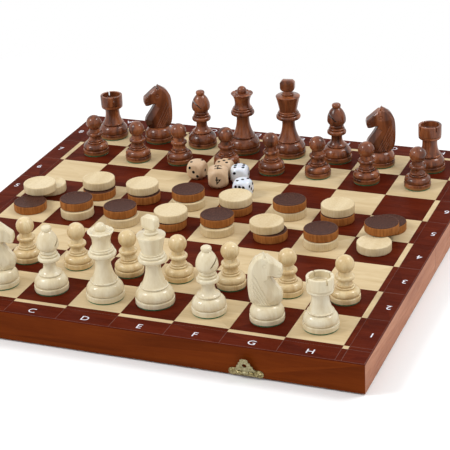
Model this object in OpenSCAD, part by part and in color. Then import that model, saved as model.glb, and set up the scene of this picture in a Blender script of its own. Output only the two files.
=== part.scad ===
// Folding games compendium box: a chess and draughts board whose two halves
// fold into a case, with a backgammon field inside, set out with its men,
// draughts and dice. Millimetres. Origin on the table under the middle of the
// open board, X along the files from A to H, Y along the ranks from 1 to 8, Z up.

/* [Playing field] */
// Side of one chess square
square = 38.8; // [34:0.1:55]
// Width of the narrow inlaid ring round the squares
ring_w = 4; // [2:0.5:8]
// Width of the border outside the squares, ring included
margin = 19.8; // [14:0.1:35]
// Thickness of the veneer
veneer_t = 0.6; // [0.4:0.1:1.2]
// Width of the knife joint between two pieces of veneer
veneer_joint = 0.1; // [0.06:0.02:0.3]
// Length of a backgammon point
point_l = 125; // [60:1:130]
// Thickness of a backgammon point
point_t = 0.3; // [0.2:0.1:0.6]

/* [Trays] */
// Height of one half, from its rim to the playing surface
half_h = 21; // [18:0.5:45]
// Thickness of the rails
rail_t = 8; // [7.4:0.2:12]
// Thickness of the plywood panel
panel_t = 4; // [3:0.5:6]
// Width of the ledge in each rail that carries the panel
ledge_w = 4; // [2:0.5:6]
// Gap between the two halves along the fold
fold_gap = 0.3; // [0.2:0.1:0.8]

/* [Fold hinges] */
// Length of one hinge
hinge_l = 32; // [24:1:50]
// Distance of each hinge from the middle of the box
hinge_x = 100; // [60:1:120]
// Radius of the hinge barrel
barrel_r = 1.2; // [1:0.1:1.4]
// Radius of the hinge pin
hinge_pin_r = 0.6; // [0.4:0.05:0.7]
// Width of a hinge leaf, from the pin's axis
leaf_w = 6.6; // [5:0.2:7]
// Thickness of a hinge leaf
leaf_t = 0.9; // [0.6:0.1:1.2]
// Length of a wood screw
screw_l = 7; // [5:0.5:10]
// Radius of a wood screw's shank
screw_r = 0.8; // [0.6:0.1:1]
// Radius of a wood screw's countersunk head
screw_head_r = 1.5; // [1.2:0.1:1.7]
// Height of a wood screw's countersunk head
screw_head_h = 0.7; // [0.4:0.1:0.8]

/* [Latches] */
// Distance of each latch from the middle of the box
latch_x = 96; // [40:1:130]
// Width of a latch plate
latch_w = 24; // [20:0.5:32]
// Height of a latch plate above the rim
latch_h = 5.2; // [5:0.2:12]
// Thickness of the stamped brass
brass_t = 0.5; // [0.4:0.1:0.8]
// Radius of the rolled latch knuckles
knuckle_r = 1.1; // [0.9:0.1:1.3]
// Radius of the latch pin
latch_pin_r = 0.5; // [0.3:0.05:0.6]
// Height of the latch pin above the rim
latch_axis_z = 3; // [3:0.1:4.5]
// Length of the tongue from its pin to its tip
tongue_l = 11.6; // [9:0.2:16]
// Width of the tongue at its foot
tongue_w = 14.4; // [11:0.2:16]
// Width of the tongue at its tip
tongue_tip_w = 3.2; // [2:0.2:8]
// Distance of the tongue's hole from its pin
catch_l = 6.3; // [5.4:0.1:7.5]
// Radius of the keeper's stud
stud_r = 1.1; // [0.8:0.1:1.3]
// Length of the keeper's stud
stud_l = 3; // [2.4:0.2:4]
// Lean of the raised tongue away from the box, in degrees
tongue_lean = 14; // [10:1:60]
// Length of a brass nail under its head
nail_l = 5.5; // [4:0.5:6.5]
// Radius of a brass nail
nail_r = 0.5; // [0.4:0.1:0.7]
// Radius of a brass nail's domed head
nail_head_r = 1.2; // [1:0.1:1.5]

/* [Chessmen] */
// Thickness of the felt under each man
felt_t = 0.8; // [0.4:0.1:1.5]
// How far the felt stays inside the foot
felt_inset = 0.5; // [0.2:0.1:1]
// Height of the flat ring round each foot
foot_ring_h = 4.2; // [2:0.1:5]
// Thickness of a man's collar
collar_t = 3.6; // [2.6:0.2:4.4]
// Radius of the king's foot
king_foot_r = 13.4; // [12:0.1:16]
// Height of the bulge over the king's foot
king_bulge_h = 7.4; // [6:0.2:10]
// Height of the straight neck at the top of a stem
neck_h = 3.6; // [2:0.2:5]
// Radius of the king's stem
king_stem_r = 5.2; // [4.5:0.1:6.5]
// Height of the king's stem
king_stem_h = 17.4; // [12:0.2:22]
// Radius of the king's collar
king_collar_r = 9.9; // [8:0.1:11]
// Radius of the king's crown
king_crown_r = 9.8; // [8:0.1:11]
// Height of the king's crown
king_crown_h = 14; // [10:0.2:18]
// Width of the king's finial block
finial_w = 11.6; // [9:0.2:13]
// Height of the king's finial block
finial_h = 9; // [7:0.2:14]
// Thickness of the king's finial block
finial_t = 6; // [5:0.2:8]
// Radius of the queen's foot
queen_foot_r = 13.2; // [12:0.1:16]
// Height of the bulge over the queen's foot
queen_bulge_h = 7.4; // [6:0.2:10]
// Radius of the queen's stem
queen_stem_r = 5.2; // [4.5:0.1:6.5]
// Height of the queen's stem
queen_stem_h = 17.6; // [12:0.2:22]
// Radius of the queen's collar
queen_collar_r = 9.6; // [8:0.1:11]
// Radius of the queen's coronet
queen_crown_r = 9; // [8:0.1:10.5]
// Height of the queen's head from collar to coronet
queen_crown_h = 13; // [10:0.2:18]
// Radius of the queen's ball
queen_ball_r = 3.9; // [2.4:0.1:4.6]
// Radius of the bishop's foot
bishop_foot_r = 11.9; // [10.5:0.1:14]
// Height of the bulge over the bishop's foot
bishop_bulge_h = 7.2; // [6:0.2:10]
// Radius of the bishop's stem
bishop_stem_r = 4.4; // [3.8:0.1:5.5]
// Height of the bishop's stem
bishop_stem_h = 8.8; // [7:0.2:14]
// Radius of the bishop's collar
bishop_collar_r = 7.7; // [6.8:0.1:9.5]
// Radius of the bishop's mitre
mitre_r = 7.6; // [6.2:0.1:8.5]
// Height of the bishop's mitre
mitre_h = 14; // [12:0.2:19]
// Radius of the bishop's button
button_r = 3.6; // [2.8:0.1:4.4]
// Height of the bishop's button
button_h = 3.6; // [3.2:0.1:5]
// Width of the saw cut in the mitre
mitre_cut = 1; // [0.6:0.1:1.4]
// Radius of the knight's foot
knight_foot_r = 11.7; // [10.5:0.1:14]
// Height of the bulge over the knight's foot
knight_bulge_h = 7; // [5:0.2:9]
// Thickness of the knight's carved head
knight_t = 10; // [8:0.2:12]
// Height of the knight's carved head
knight_h = 37; // [32:0.5:42]
// Radius of the rook's foot
rook_foot_r = 12.1; // [10.5:0.1:14]
// Height of the bulge over the rook's foot
rook_bulge_h = 6.6; // [5:0.2:9]
// Radius of the rook's stem
rook_stem_r = 5.9; // [5:0.1:7]
// Height of the rook's stem
rook_stem_h = 12.6; // [8:0.2:16]
// Radius of the rook's turret
turret_r = 9.1; // [8:0.1:11]
// Height of the rook's turret
turret_h = 11.4; // [9:0.2:15]
// Thickness of the turret's wall
turret_wall = 2; // [1.4:0.1:2.6]
// Depth of the turret's hollow
turret_depth = 5; // [3:0.2:7]
// Width of the saw cuts in the turret's wall
turret_cut = 1; // [0.5:0.1:1.6]
// Radius of the pawn's foot
pawn_foot_r = 10.4; // [9:0.1:12]
// Height of the bulge over the pawn's foot
pawn_bulge_h = 4.6; // [4:0.2:8]
// Radius of the pawn's neck
pawn_neck_r = 4.8; // [3.6:0.1:5]
// Height of the pawn's neck
pawn_neck_h = 4.7; // [4:0.1:9]
// Radius of the pawn's collar
pawn_collar_r = 6.5; // [5.6:0.1:7.5]
// Radius of the pawn's ball
pawn_ball_r = 6.4; // [5:0.1:7]

/* [Draughts and dice] */
// Radius of a draught
draught_r = 12.5; // [10:0.1:13]
// Thickness of a draught
draught_t = 6.5; // [4:0.1:9]
// Width of the raised rim on a draught
draught_rim = 1.8; // [1:0.1:3]
// Depth of the dished faces of a draught
draught_dish = 0.5; // [0.2:0.1:1]
// Edge length of a numbered die
die = 13.8; // [10:0.2:17]
// Edge length of the doubling cube
doubling_die = 15.6; // [12:0.2:20]
// Radius of the ball that rounds a die's corners, as a multiple of its half edge
die_round = 1.26; // [1.2:0.01:1.6]

/* [Hidden] */
$fn = 48;

// Whole box
field_half = 4 * square;            // middle of the board to the edge of the squares
board_half = field_half + margin;   // middle of the board to the edge of the box
top_z = half_h - veneer_t;          // top of the rails and panels
panel_set = rail_t - ledge_w;       // box edge to panel edge
inner_x = board_half - rail_t;      // middle to the inside face of a side rail
inner_y = board_half - rail_t - fold_gap / 2 - rail_t;   // clear depth of one tray
cut = 1;                            // how far a cutter runs past a face

// Clearances
running = 0.03;      // pin in its knuckle, on the radius
knuckle_gap = 0.2;   // between neighbouring knuckles
seat = 0.05;         // leaf, screw or nail in its seat
latch_standoff = 0.3;  // tongue knuckle to the box
stud_clear = 0.45;   // stud in the tongue's hole, on the radius
rim_recess = 0.05;   // hinge leaf below the rim

// ---------------------------------------------------------------- the two trays

// A side of a mitred frame, lying along +X from -half to half, outer face at y = 0
module mitred_rail(half, height) {
    difference() {
        linear_extrude(height)
            polygon([[-half, 0], [half, 0], [half - rail_t, rail_t], [-half + rail_t, rail_t]]);
        translate([-half + panel_set, panel_set, height - panel_t])
            cube([2 * (half - panel_set), rail_t, panel_t + cut]);
    }
}

// Side rails run from the outer edge of the box to the fold
side_half = (board_half - fold_gap / 2) / 2;
side_mid = fold_gap / 2 + side_half;

// All cutters below are for the front tray; the rear tray mirrors them
module nail_holes(x, y, z, spacing, facing) {
    for (side = [-1, 1])
        translate([x + side * spacing / 2, y, z])
            rotate([90 * facing, 0, 0])
                translate([0, 0, -cut])
                    cylinder(r = nail_r + seat, h = nail_l + cut + seat);
}

module front_outer_rail() {
    color("saddlebrown")
        difference() {
            translate([0, -board_half, 0]) mitred_rail(board_half, top_z);
            for (side = [-1, 1])
                nail_holes(side * latch_x, -board_half, plate_nail_z, nail_spacing, -1);
        }
}

module rear_outer_rail() {
    color("saddlebrown")
        difference() {
            mirror([0, 1, 0]) translate([0, -board_half, 0]) mitred_rail(board_half, top_z);
            for (side = [-1, 1])
                nail_holes(side * latch_x, board_half, keeper_nail_z, keeper_nail_spacing, 1);
        }
}

// The fold rail has a mortise for each hinge leaf and a cove for each barrel
module fold_rail() {
    difference() {
        translate([0, -fold_gap / 2, 0]) mirror([0, 1, 0]) mitred_rail(board_half, top_z);
        for (side = [-1, 1])
            translate([side * hinge_x, 0, 0]) {
                translate([-hinge_l / 2 - seat, -leaf_w - seat, -cut])
                    cube([hinge_l + 2 * seat, leaf_w + cut, cut + leaf_t + rim_recess]);
                rotate([0, 90, 0])
                    cylinder(r = barrel_r + 3 * seat, h = hinge_l + 2 * seat, center = true);
                for (x = screw_places)
                    translate([x, -screw_y, -cut])
                        cylinder(r = screw_r + seat, h = screw_l + cut + 2 * seat);
            }
    }
}

module front_fold_rail() { color("saddlebrown") fold_rail(); }
module rear_fold_rail() { color("saddlebrown") mirror([0, 1, 0]) fold_rail(); }

module side_rail() {
    translate([-board_half, -side_mid, 0]) rotate(-90) mirror([1, 0, 0]) mitred_rail(side_half, top_z);
}

module front_left_rail() { color("saddlebrown") side_rail(); }
module front_right_rail() { color("saddlebrown") mirror([1, 0, 0]) side_rail(); }
module rear_left_rail() { color("saddlebrown") mirror([0, 1, 0]) side_rail(); }
module rear_right_rail() { color("saddlebrown") rotate(180) side_rail(); }

module panel() {
    x_half = board_half - panel_set;
    y_near = fold_gap / 2 + panel_set;
    translate([-x_half, -x_half, top_z - panel_t])
        cube([2 * x_half, x_half - y_near, panel_t]);
}

module front_panel() { color("tan") panel(); }
module rear_panel() { color("tan") mirror([0, 1, 0]) panel(); }

// ---------------------------------------------------------------- veneers

// Joint lines of the veneer, numbered -2 to 10 across the whole board:
// box edge, ring edge, the nine square lines, ring edge, box edge
function joint_line(k) =
    k == -2 ? -board_half :
    k == -1 ? -field_half - ring_w :
    k == 9 ? field_half + ring_w :
    k == 10 ? board_half :
    (k - 4) * square;

// Squares and ring alternate like one big chequer; the border is all dark
function is_border(file, rank) = file == -2 || file == 9 || rank == -2 || rank == 9;
function is_dark(file, rank) = is_border(file, rank) || (file + rank + 4) % 2 == 0;

module tile(file, rank) {
    x0 = joint_line(file) + (file == -2 ? 0 : veneer_joint / 2);
    x1 = joint_line(file + 1) - (file == 9 ? 0 : veneer_joint / 2);
    y0 = joint_line(rank) + (rank == -2 ? 0 : rank == 4 ? fold_gap / 2 : veneer_joint / 2);
    y1 = joint_line(rank + 1) - (rank == 9 ? 0 : rank == 3 ? fold_gap / 2 : veneer_joint / 2);
    translate([x0, y0, top_z]) cube([x1 - x0, y1 - y0, veneer_t]);
}

module veneer(first_rank, dark) {
    for (rank = [first_rank : first_rank + 5], file = [-2 : 9])
        if (is_dark(file, rank) == dark) tile(file, rank);
}

module front_light_veneer() { color("burlywood") veneer(-2, false); }
module front_dark_veneer() { color([0.33, 0.12, 0.08]) veneer(-2, true); }
module rear_light_veneer() { color("burlywood") veneer(4, false); }
module rear_dark_veneer() { color([0.33, 0.12, 0.08]) veneer(4, true); }

// Backgammon points lie under the panel, inside the tray: six from each side rail
points_per_side = 6;
point_w = inner_y / points_per_side;

module points(dark) {
    for (k = [0 : points_per_side - 1], side = [-1, 1])
        if ((k + (side > 0 ? 1 : 0)) % 2 == (dark ? 1 : 0))
            translate([side * inner_x, -board_half + rail_t + k * point_w, top_z - panel_t - point_t])
                linear_extrude(point_t)
                    polygon([[0, veneer_joint], [-side * point_l, point_w / 2],
                        [0, point_w - veneer_joint]]);
}

module front_light_points() { color("wheat") points(false); }
module front_dark_points() { color("sienna") points(true); }
module rear_light_points() { color("wheat") mirror([0, 1, 0]) points(false); }
module rear_dark_points() { color("sienna") mirror([0, 1, 0]) points(true); }

// ---------------------------------------------------------------- fold hinges

// Three knuckles on a pin along the fold, at the level of the rims
knuckle_l = hinge_l / 3;
screw_y = (leaf_w + barrel_r) / 2;          // screws sit in the middle of the free leaf
screw_places = [-hinge_l / 3, 0, hinge_l / 3];

module hinge_leaf(knuckles) {
    difference() {
        union() {
            translate([-hinge_l / 2, -leaf_w, rim_recess]) cube([hinge_l, leaf_w, leaf_t]);
            for (k = knuckles)
                translate([k * knuckle_l - knuckle_l / 2 + knuckle_gap / 2, 0, 0])
                    rotate([0, 90, 0]) cylinder(r = barrel_r, h = knuckle_l - knuckle_gap);
        }
        // the other leaf's knuckles turn in these gaps
        for (k = [-1, 0, 1])
            if (len([for (own = knuckles) if (own == k) own]) == 0)
                translate([k * knuckle_l - knuckle_l / 2 - knuckle_gap / 2, -barrel_r - 2 * seat, -barrel_r - cut])
                    cube([knuckle_l + knuckle_gap, 2 * barrel_r + cut, 2 * barrel_r + 2 * cut]);
        // each leaf keeps to its own side of the fold, but for its knuckles
        rotate([0, 90, 0]) cylinder(r = hinge_pin_r + running, h = hinge_l + cut, center = true);
        for (x = screw_places)
            translate([x, -screw_y, rim_recess]) {
                translate([0, 0, -cut]) cylinder(r = screw_r + seat, h = leaf_t + 2 * cut);
                translate([0, 0, -seat])
                    cylinder(r1 = screw_head_r + seat, r2 = screw_r + seat, h = screw_head_h + seat);
            }
    }
}

module hinge_screws() {
    for (side = [-1, 1], x = screw_places)
        translate([side * hinge_x + x, -screw_y, rim_recess]) {
            cylinder(r1 = screw_head_r, r2 = screw_r, h = screw_head_h);
            cylinder(r = screw_r, h = screw_l - rim_recess);
        }
}

module front_hinge_leaves() {
    color("goldenrod") for (side = [-1, 1]) translate([side * hinge_x, 0, 0]) hinge_leaf([-1, 1]);
}
module rear_hinge_leaves() {
    color("goldenrod")
        for (side = [-1, 1]) translate([side * hinge_x, 0, 0]) mirror([0, 1, 0]) hinge_leaf([0]);
}
module hinge_pins() {
    color("silver")
        for (side = [-1, 1])
            translate([side * hinge_x, 0, 0])
                rotate([0, 90, 0]) cylinder(r = hinge_pin_r, h = hinge_l - knuckle_gap, center = true);
}
module front_hinge_screws() { color("silver") hinge_screws(); }
module rear_hinge_screws() { color("silver") mirror([0, 1, 0]) hinge_screws(); }

// ---------------------------------------------------------------- latches

// The pin of a latch runs along X in front of the outer rail, near the rim
latch_axis_y = board_half + latch_standoff + knuckle_r;
tongue_knuckle_l = tongue_w / 3.4;
nail_spacing = latch_w - 2 * nail_head_r - 2.6;
plate_nail_z = latch_h / 2;
wing_r = 2.6;                       // lobes at the ends of the latch plate
tongue_hole_r = stud_r + stud_clear;

// Stamped plate with a lobed outline, seen from the front, foot on y = 0
module plate_outline(w, h) {
    square_w = w - 2 * wing_r;
    translate([-square_w / 2, 0.4]) square([square_w, h - 0.4]);
    for (side = [-1, 1]) {
        translate([side * square_w / 2, h / 2]) circle(wing_r);
        translate([side * square_w / 4, h]) circle(0.9);
    }
    translate([0, h]) circle(0.9);
}

// Two plate knuckles with the tongue's knuckle between them
module plate_knuckles() {
    for (side = [-1, 1])
        translate([side * (tongue_knuckle_l / 2 + knuckle_gap + plate_knuckle_l / 2), 0, 0])
            rotate([0, 90, 0]) cylinder(r = knuckle_r, h = plate_knuckle_l, center = true);
}
plate_knuckle_l = 3.2;

module latch_plate() {
    difference() {
        union() {
            translate([0, -board_half, 0]) rotate([90, 0, 0])
                linear_extrude(brass_t) plate_outline(latch_w, latch_h);
            translate([0, -latch_axis_y, latch_axis_z]) plate_knuckles();
        }
        // window for the tongue's knuckle
        translate([-tongue_knuckle_l / 2 - knuckle_gap, -latch_axis_y - knuckle_r - cut,
                latch_axis_z - knuckle_r - latch_standoff])
            cube([tongue_knuckle_l + 2 * knuckle_gap, 2 * knuckle_r + latch_standoff + 2 * cut,
                2 * (knuckle_r + latch_standoff)]);
        translate([0, -latch_axis_y, latch_axis_z]) rotate([0, 90, 0])
            cylinder(r = latch_pin_r + running, h = latch_w, center = true);
        for (side = [-1, 1])
            translate([side * nail_spacing / 2, -board_half, plate_nail_z]) rotate([90, 0, 0])
                translate([0, 0, -cut]) cylinder(r = nail_r + seat, h = brass_t + 2 * cut);
    }
}

module latch_plates() {
    color("darkkhaki") for (side = [-1, 1]) translate([side * latch_x, 0, 0]) latch_plate();
}

module latch_pins() {
    color("darkkhaki")
        for (side = [-1, 1])
            translate([side * latch_x, -latch_axis_y, latch_axis_z]) rotate([0, 90, 0])
                cylinder(r = latch_pin_r, center = true,
                    h = tongue_knuckle_l + 2 * (knuckle_gap + plate_knuckle_l));
}

// A nail along -Y, with the underside of its domed head at the origin
module nail() {
    rotate([-90, 0, 0]) cylinder(r = nail_r, h = nail_l);
    rotate([90, 0, 0])
        rotate_extrude()
            intersection() {
                translate([0, -nail_head_r]) circle(nail_head_r * sqrt(2));
                square(nail_head_r);
            }
}

module latch_nails() {
    color("darkkhaki")
        for (latch = [-1, 1], side = [-1, 1])
            translate([latch * latch_x + side * nail_spacing / 2, -board_half - brass_t, plate_nail_z])
                nail();
}

// Scalloped tongue, seen from the front, pin at the origin
module tongue_outline() {
    foot = knuckle_r + 2 * latch_standoff;
    strap_w = tongue_knuckle_l - 0.2;
    difference() {
        union() {
            translate([-strap_w / 2, 0]) square([strap_w, foot + cut]);
            polygon([[-tongue_w / 2, foot], [tongue_w / 2, foot],
                [tongue_tip_w / 2, tongue_l], [-tongue_tip_w / 2, tongue_l]]);
            for (side = [-1, 1], k = [0 : 3])
                translate([side * (tongue_w / 2 + (tongue_tip_w - tongue_w) / 2 * (k + 0.5) / 4 - 0.4),
                        foot + (tongue_l - foot) * (k + 0.5) / 4])
                    circle(0.9);
        }
        translate([0, catch_l]) circle(tongue_hole_r);
    }
}

module tongue() {
    translate([0, -latch_axis_y, latch_axis_z])
        rotate([tongue_lean, 0, 0])
            difference() {
                union() {
                    rotate([0, 90, 0]) cylinder(r = knuckle_r, h = tongue_knuckle_l, center = true);
                    rotate([90, 0, 0])
                        linear_extrude(brass_t, center = true) tongue_outline();
                }
                rotate([0, 90, 0])
                    cylinder(r = latch_pin_r + running, h = tongue_w + cut, center = true);
            }
}

module left_tongue() { color("darkkhaki") translate([-latch_x, 0, 0]) tongue(); }
module right_tongue() { color("darkkhaki") translate([latch_x, 0, 0]) tongue(); }

// Keepers sit on the rear tray's far face, so that the folded box brings each
// stud into the hole of a lowered tongue
keeper_stud_z = catch_l - latch_axis_z;
keeper_w = 15;
keeper_nail_spacing = keeper_w - 2 * nail_head_r - 1.6;
keeper_nail_z = keeper_stud_z;

module keeper() {
    difference() {
        union() {
            translate([0, board_half, 0]) rotate([-90, 0, 0]) mirror([0, 1, 0])
                linear_extrude(brass_t) plate_outline(keeper_w, 2 * keeper_stud_z);
            translate([0, board_half, keeper_stud_z]) rotate([-90, 0, 0]) cylinder(r = stud_r, h = stud_l);
        }
        for (side = [-1, 1])
            translate([side * keeper_nail_spacing / 2, board_half - cut, keeper_nail_z])
                rotate([-90, 0, 0]) cylinder(r = nail_r + seat, h = brass_t + 2 * cut);
    }
}

module keepers() {
    color("darkkhaki") for (side = [-1, 1]) translate([side * latch_x, 0, 0]) keeper();
}

module keeper_nails() {
    color("darkkhaki")
        for (latch = [-1, 1], side = [-1, 1])
            translate([latch * latch_x + side * keeper_nail_spacing / 2, board_half + brass_t, keeper_nail_z])
                mirror([0, 1, 0]) nail();
}

// ---------------------------------------------------------------- chessmen

// Places of the men: the middle of their square, and how far off it each was
// set down, in fortieths of a square, for files A to H
nudge = square / 40;
function place(file, rank, shift) =
    [(file - 3.5) * square + shift[0] * nudge, (rank - 3.5) * square + shift[1] * nudge, half_h];
white_pawn_shift = [[0, 0], [-1, -1], [0, 0], [1, -1], [-1, 1], [-1, 0], [1, 1], [2, 2]];
brown_pawn_shift = [[0, 1], [1, -3], [-3, 1], [-2, 3], [-2, 1], [-3, 3], [-2, 2], [0, 2]];
white_back_shift = [[0, 0], [0, -2], [-2, 0], [0, 0], [-3, 2], [-2, 0], [0, 0], [-2, 0]];
brown_back_shift = [[-1, 0], [1, 2], [2, 0], [0, -1], [0, 0], [2, -1], [-1, -1], [0, 0]];
// How far round each man was turned: a file's two rooks, knights and bishops
rook_turns = [38, 48];
white_knight_turns = [17, 12];
brown_knight_turns = [215, 205];
white_bishop_turns = [60, 31];
brown_bishop_turns = [211, 204];
white_finial_turn = -15;
brown_finial_turn = 8;

// Flat bar with rounded outer edges, for a ring of the turned outline
module bead(r, h, round_r) {
    square([r - round_r, h]);
    translate([0, round_r]) square([r, h - 2 * round_r]);
    for (z = [round_r, h - round_r]) translate([r - round_r, z]) circle(round_r);
}

// Half disc on the axis, which turns into a ball
module half_disc(r) {
    intersection() {
        circle(r);
        translate([0, -r]) square([r, 2 * r]);
    }
}

// Foot ring and the bulge that rises from it to the shoulder
bulge_step = 0.3;
groove_h = 0.5;                     // groove between foot ring and bulge
groove_in = 1.2;
module foot_outline(r, bulge_h, shoulder_r) {
    drop = r - bulge_step - shoulder_r;
    bulge_r = (bulge_h * bulge_h + drop * drop) / (2 * drop);
    translate([0, felt_t]) bead(r, foot_ring_h - groove_h, 0.8);
    translate([0, felt_t + 0.8]) square([r - groove_in, foot_ring_h - 0.6]);
    translate([0, felt_t + foot_ring_h])
        intersection() {
            translate([r - bulge_step - bulge_r, 0]) circle(bulge_r);
            square([r, bulge_h]);
        }
    translate([0, felt_t + foot_ring_h - 0.2]) square([shoulder_r - 0.2, bulge_h + 0.2]);
}

// Stem that sweeps in from the shoulder to a straight neck at the top
module stem_outline(shoulder_r, r, h, straight) {
    rise = h - straight;
    sweep = shoulder_r - r;
    hollow_r = (rise * rise + sweep * sweep) / (2 * sweep);
    difference() {
        square([shoulder_r, rise]);
        translate([r + hollow_r, rise]) circle(hollow_r);
    }
    square([r, h + 0.3]);
}

// Foot, shoulder bead and stem, the part that king, queen, bishop and rook share
shoulder_h = 1.4;
shoulder_out = 0.7;                 // the bead stands out this far over the bulge
function stem_top(bulge_h, stem_h) = felt_t + foot_ring_h + bulge_h + shoulder_h + stem_h;

module lower_outline(foot_r, bulge_h, shoulder_r, stem_r, stem_h) {
    foot_outline(foot_r, bulge_h, shoulder_r - shoulder_out);
    translate([0, felt_t + foot_ring_h + bulge_h]) {
        bead(shoulder_r, shoulder_h, 0.6);
        translate([0, -0.3]) square([stem_r, 1]);
        translate([0, shoulder_h]) stem_outline(shoulder_r - 0.5, stem_r, stem_h, neck_h);
    }
}

// Collar: a thick ring under a thinner one, on which the head's own foot ring sits
head_ring_h = 1.3;
collar_top_t = 2.2;
function collar_h() = collar_t + collar_top_t - 0.4;
module collar_outline(r) {
    bead(r, collar_t, collar_t * 0.45);
    translate([0, collar_t - 0.4]) bead(r - 1.3, collar_top_t, collar_top_t * 0.45);
    square([r / 2, collar_h() + 0.3]);
}

king_shoulder_r = 9.6;
king_head_z = stem_top(king_bulge_h, king_stem_h) + collar_h();
king_crown_z = king_head_z + king_crown_h;
crown_dome_h = 2.4;
crown_taper = 2.9;                  // the crown's foot is this much smaller than its rim
crown_neck_r = 5;
finial_neck_r = 4;

module king_shape() {
    rotate_extrude() {
        lower_outline(king_foot_r, king_bulge_h, king_shoulder_r, king_stem_r, king_stem_h);
        translate([0, stem_top(king_bulge_h, king_stem_h)]) collar_outline(king_collar_r);
        translate([0, king_head_z])
            polygon([[0, 0], [king_crown_r - crown_taper, 0], [king_crown_r, king_crown_h - 0.6],
                [king_crown_r - 0.3, king_crown_h], [crown_neck_r, king_crown_h + 0.6],
                [crown_neck_r, king_crown_h + crown_dome_h - 0.6],
                [crown_neck_r - 0.6, king_crown_h + crown_dome_h], [0, king_crown_h + crown_dome_h]]);
        translate([0, king_head_z - 0.2]) bead(king_collar_r * 0.79, head_ring_h, 0.5);
    }
}

// Flat block with cut corners, on a short round neck
finial_neck_h = 1.6;
module finial_shape(turn) {
    corner = 1.8;
    translate([0, 0, king_crown_z + crown_dome_h]) rotate(turn) {
        cylinder(r = finial_neck_r, h = finial_neck_h + 0.2);
        translate([0, 0, finial_neck_h])
            intersection() {
                rotate([90, 0, 0]) linear_extrude(finial_t, center = true)
                    polygon([[-finial_w / 2 + corner, 0], [finial_w / 2 - corner, 0],
                        [finial_w / 2, corner], [finial_w / 2, finial_h - corner],
                        [finial_w / 2 - corner, finial_h], [-finial_w / 2 + corner, finial_h],
                        [-finial_w / 2, finial_h - corner], [-finial_w / 2, corner]]);
                cylinder(r = finial_w / 2 + 0.2, h = finial_h);
            }
    }
}

queen_shoulder_r = 9.5;
queen_head_z = stem_top(queen_bulge_h, queen_stem_h) + collar_h();
queen_notches = 8;
rim_bevel = 0.6;
queen_flare = 2.8;                  // from the head's waist out to its rim
queen_dish = 0.3;                    // the ring round the dome lies this far under the rim
queen_dome_r = 5.2;
queen_ball_z = 1.6;                  // middle of the ball over the rim

module queen_shape() {
    waist_z = queen_crown_h * 0.37;
    waist_r = queen_crown_r - queen_flare;
    rise = queen_crown_h - rim_bevel - waist_z;
    hollow_r = (rise * rise + queen_flare * queen_flare) / (2 * queen_flare);
    difference() {
        rotate_extrude() {
            lower_outline(queen_foot_r, queen_bulge_h, queen_shoulder_r, queen_stem_r, queen_stem_h);
            translate([0, stem_top(queen_bulge_h, queen_stem_h)]) collar_outline(queen_collar_r);
            translate([0, queen_head_z]) {
                difference() {
                    square([queen_crown_r, queen_crown_h - rim_bevel]);
                    translate([waist_r + hollow_r, waist_z]) circle(hollow_r);
                }
                translate([0, queen_crown_h - rim_bevel])
                    polygon([[0, -rim_bevel], [queen_crown_r - rim_bevel, -rim_bevel], [queen_crown_r, 0],
                        [queen_crown_r - rim_bevel, rim_bevel],
                        [queen_crown_r - 3.5 * rim_bevel, -queen_dish], [queen_dome_r + 0.3, -queen_dish],
                        [queen_dome_r, rim_bevel], [0, rim_bevel]]);
                translate([0, queen_crown_h + queen_ball_z]) half_disc(queen_ball_r);
                translate([0, -0.2]) bead(queen_collar_r * 0.79, head_ring_h, 0.5);
            }
        }
        for (k = [0 : queen_notches - 1])
            rotate(360 / queen_notches * (k + 0.5))
                translate([queen_crown_r, 0, queen_head_z + queen_crown_h + 0.3])
                    rotate([0, -80, 0]) cylinder(r = 0.7, h = 3.2, center = true);
    }
}

bishop_shoulder_r = 8;
bishop_ring_h = 2.6;                // third ring, between collar and mitre
bishop_head_z = stem_top(bishop_bulge_h, bishop_stem_h) + collar_h() + bishop_ring_h;
mitre_wide_z = mitre_h * 0.27;      // where the mitre is widest
mitre_foot_r = 5.3;
mitre_neck_r = 3.2;

module mitre_outline() {
    low_sweep = mitre_r - mitre_foot_r;
    low_r = (mitre_wide_z * mitre_wide_z + low_sweep * low_sweep) / (2 * low_sweep);
    top = mitre_h - mitre_wide_z;
    top_sweep = mitre_r - mitre_neck_r;
    top_r = (top * top + top_sweep * top_sweep) / (2 * top_sweep);
    intersection() {
        translate([mitre_r - low_r, mitre_wide_z]) circle(low_r);
        square([mitre_r, mitre_wide_z]);
    }
    intersection() {
        translate([mitre_r - top_r, mitre_wide_z]) circle(top_r);
        translate([0, mitre_wide_z]) square([mitre_r, top]);
    }
    translate([0, -0.3]) square([mitre_neck_r - 0.4, mitre_h + 0.8]);
}

// The saw cut enters the mitre at the side and slopes down to its middle
module bishop_shape(turn) {
    rotate(turn)
        difference() {
            rotate_extrude() {
                lower_outline(bishop_foot_r, bishop_bulge_h, bishop_shoulder_r, bishop_stem_r, bishop_stem_h);
                translate([0, stem_top(bishop_bulge_h, bishop_stem_h)]) collar_outline(bishop_collar_r);
                translate([0, bishop_head_z - bishop_ring_h - 0.2])
                    bead(mitre_foot_r + 0.4, bishop_ring_h + 0.2, 1);
                translate([0, bishop_head_z]) mitre_outline();
                translate([0, bishop_head_z + mitre_h]) bead(button_r, button_h, 1.5);
            }
            translate([1, 0, bishop_head_z + mitre_wide_z + 0.4]) rotate([0, -45, 0])
                translate([0, -mitre_r - cut, -mitre_cut / 2])
                    cube([2 * mitre_r, 2 * (mitre_r + cut), mitre_cut]);
        }
}

rook_shoulder_r = 9;
turret_z = stem_top(rook_bulge_h, rook_stem_h);
turret_top_z = turret_z + turret_h;
turret_ring_h = 2.6;                // band under the turret's wall
turret_ring_in = 0.2;
turret_groove = 0.6;
turret_cut_depth = turret_depth - 1;

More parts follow.
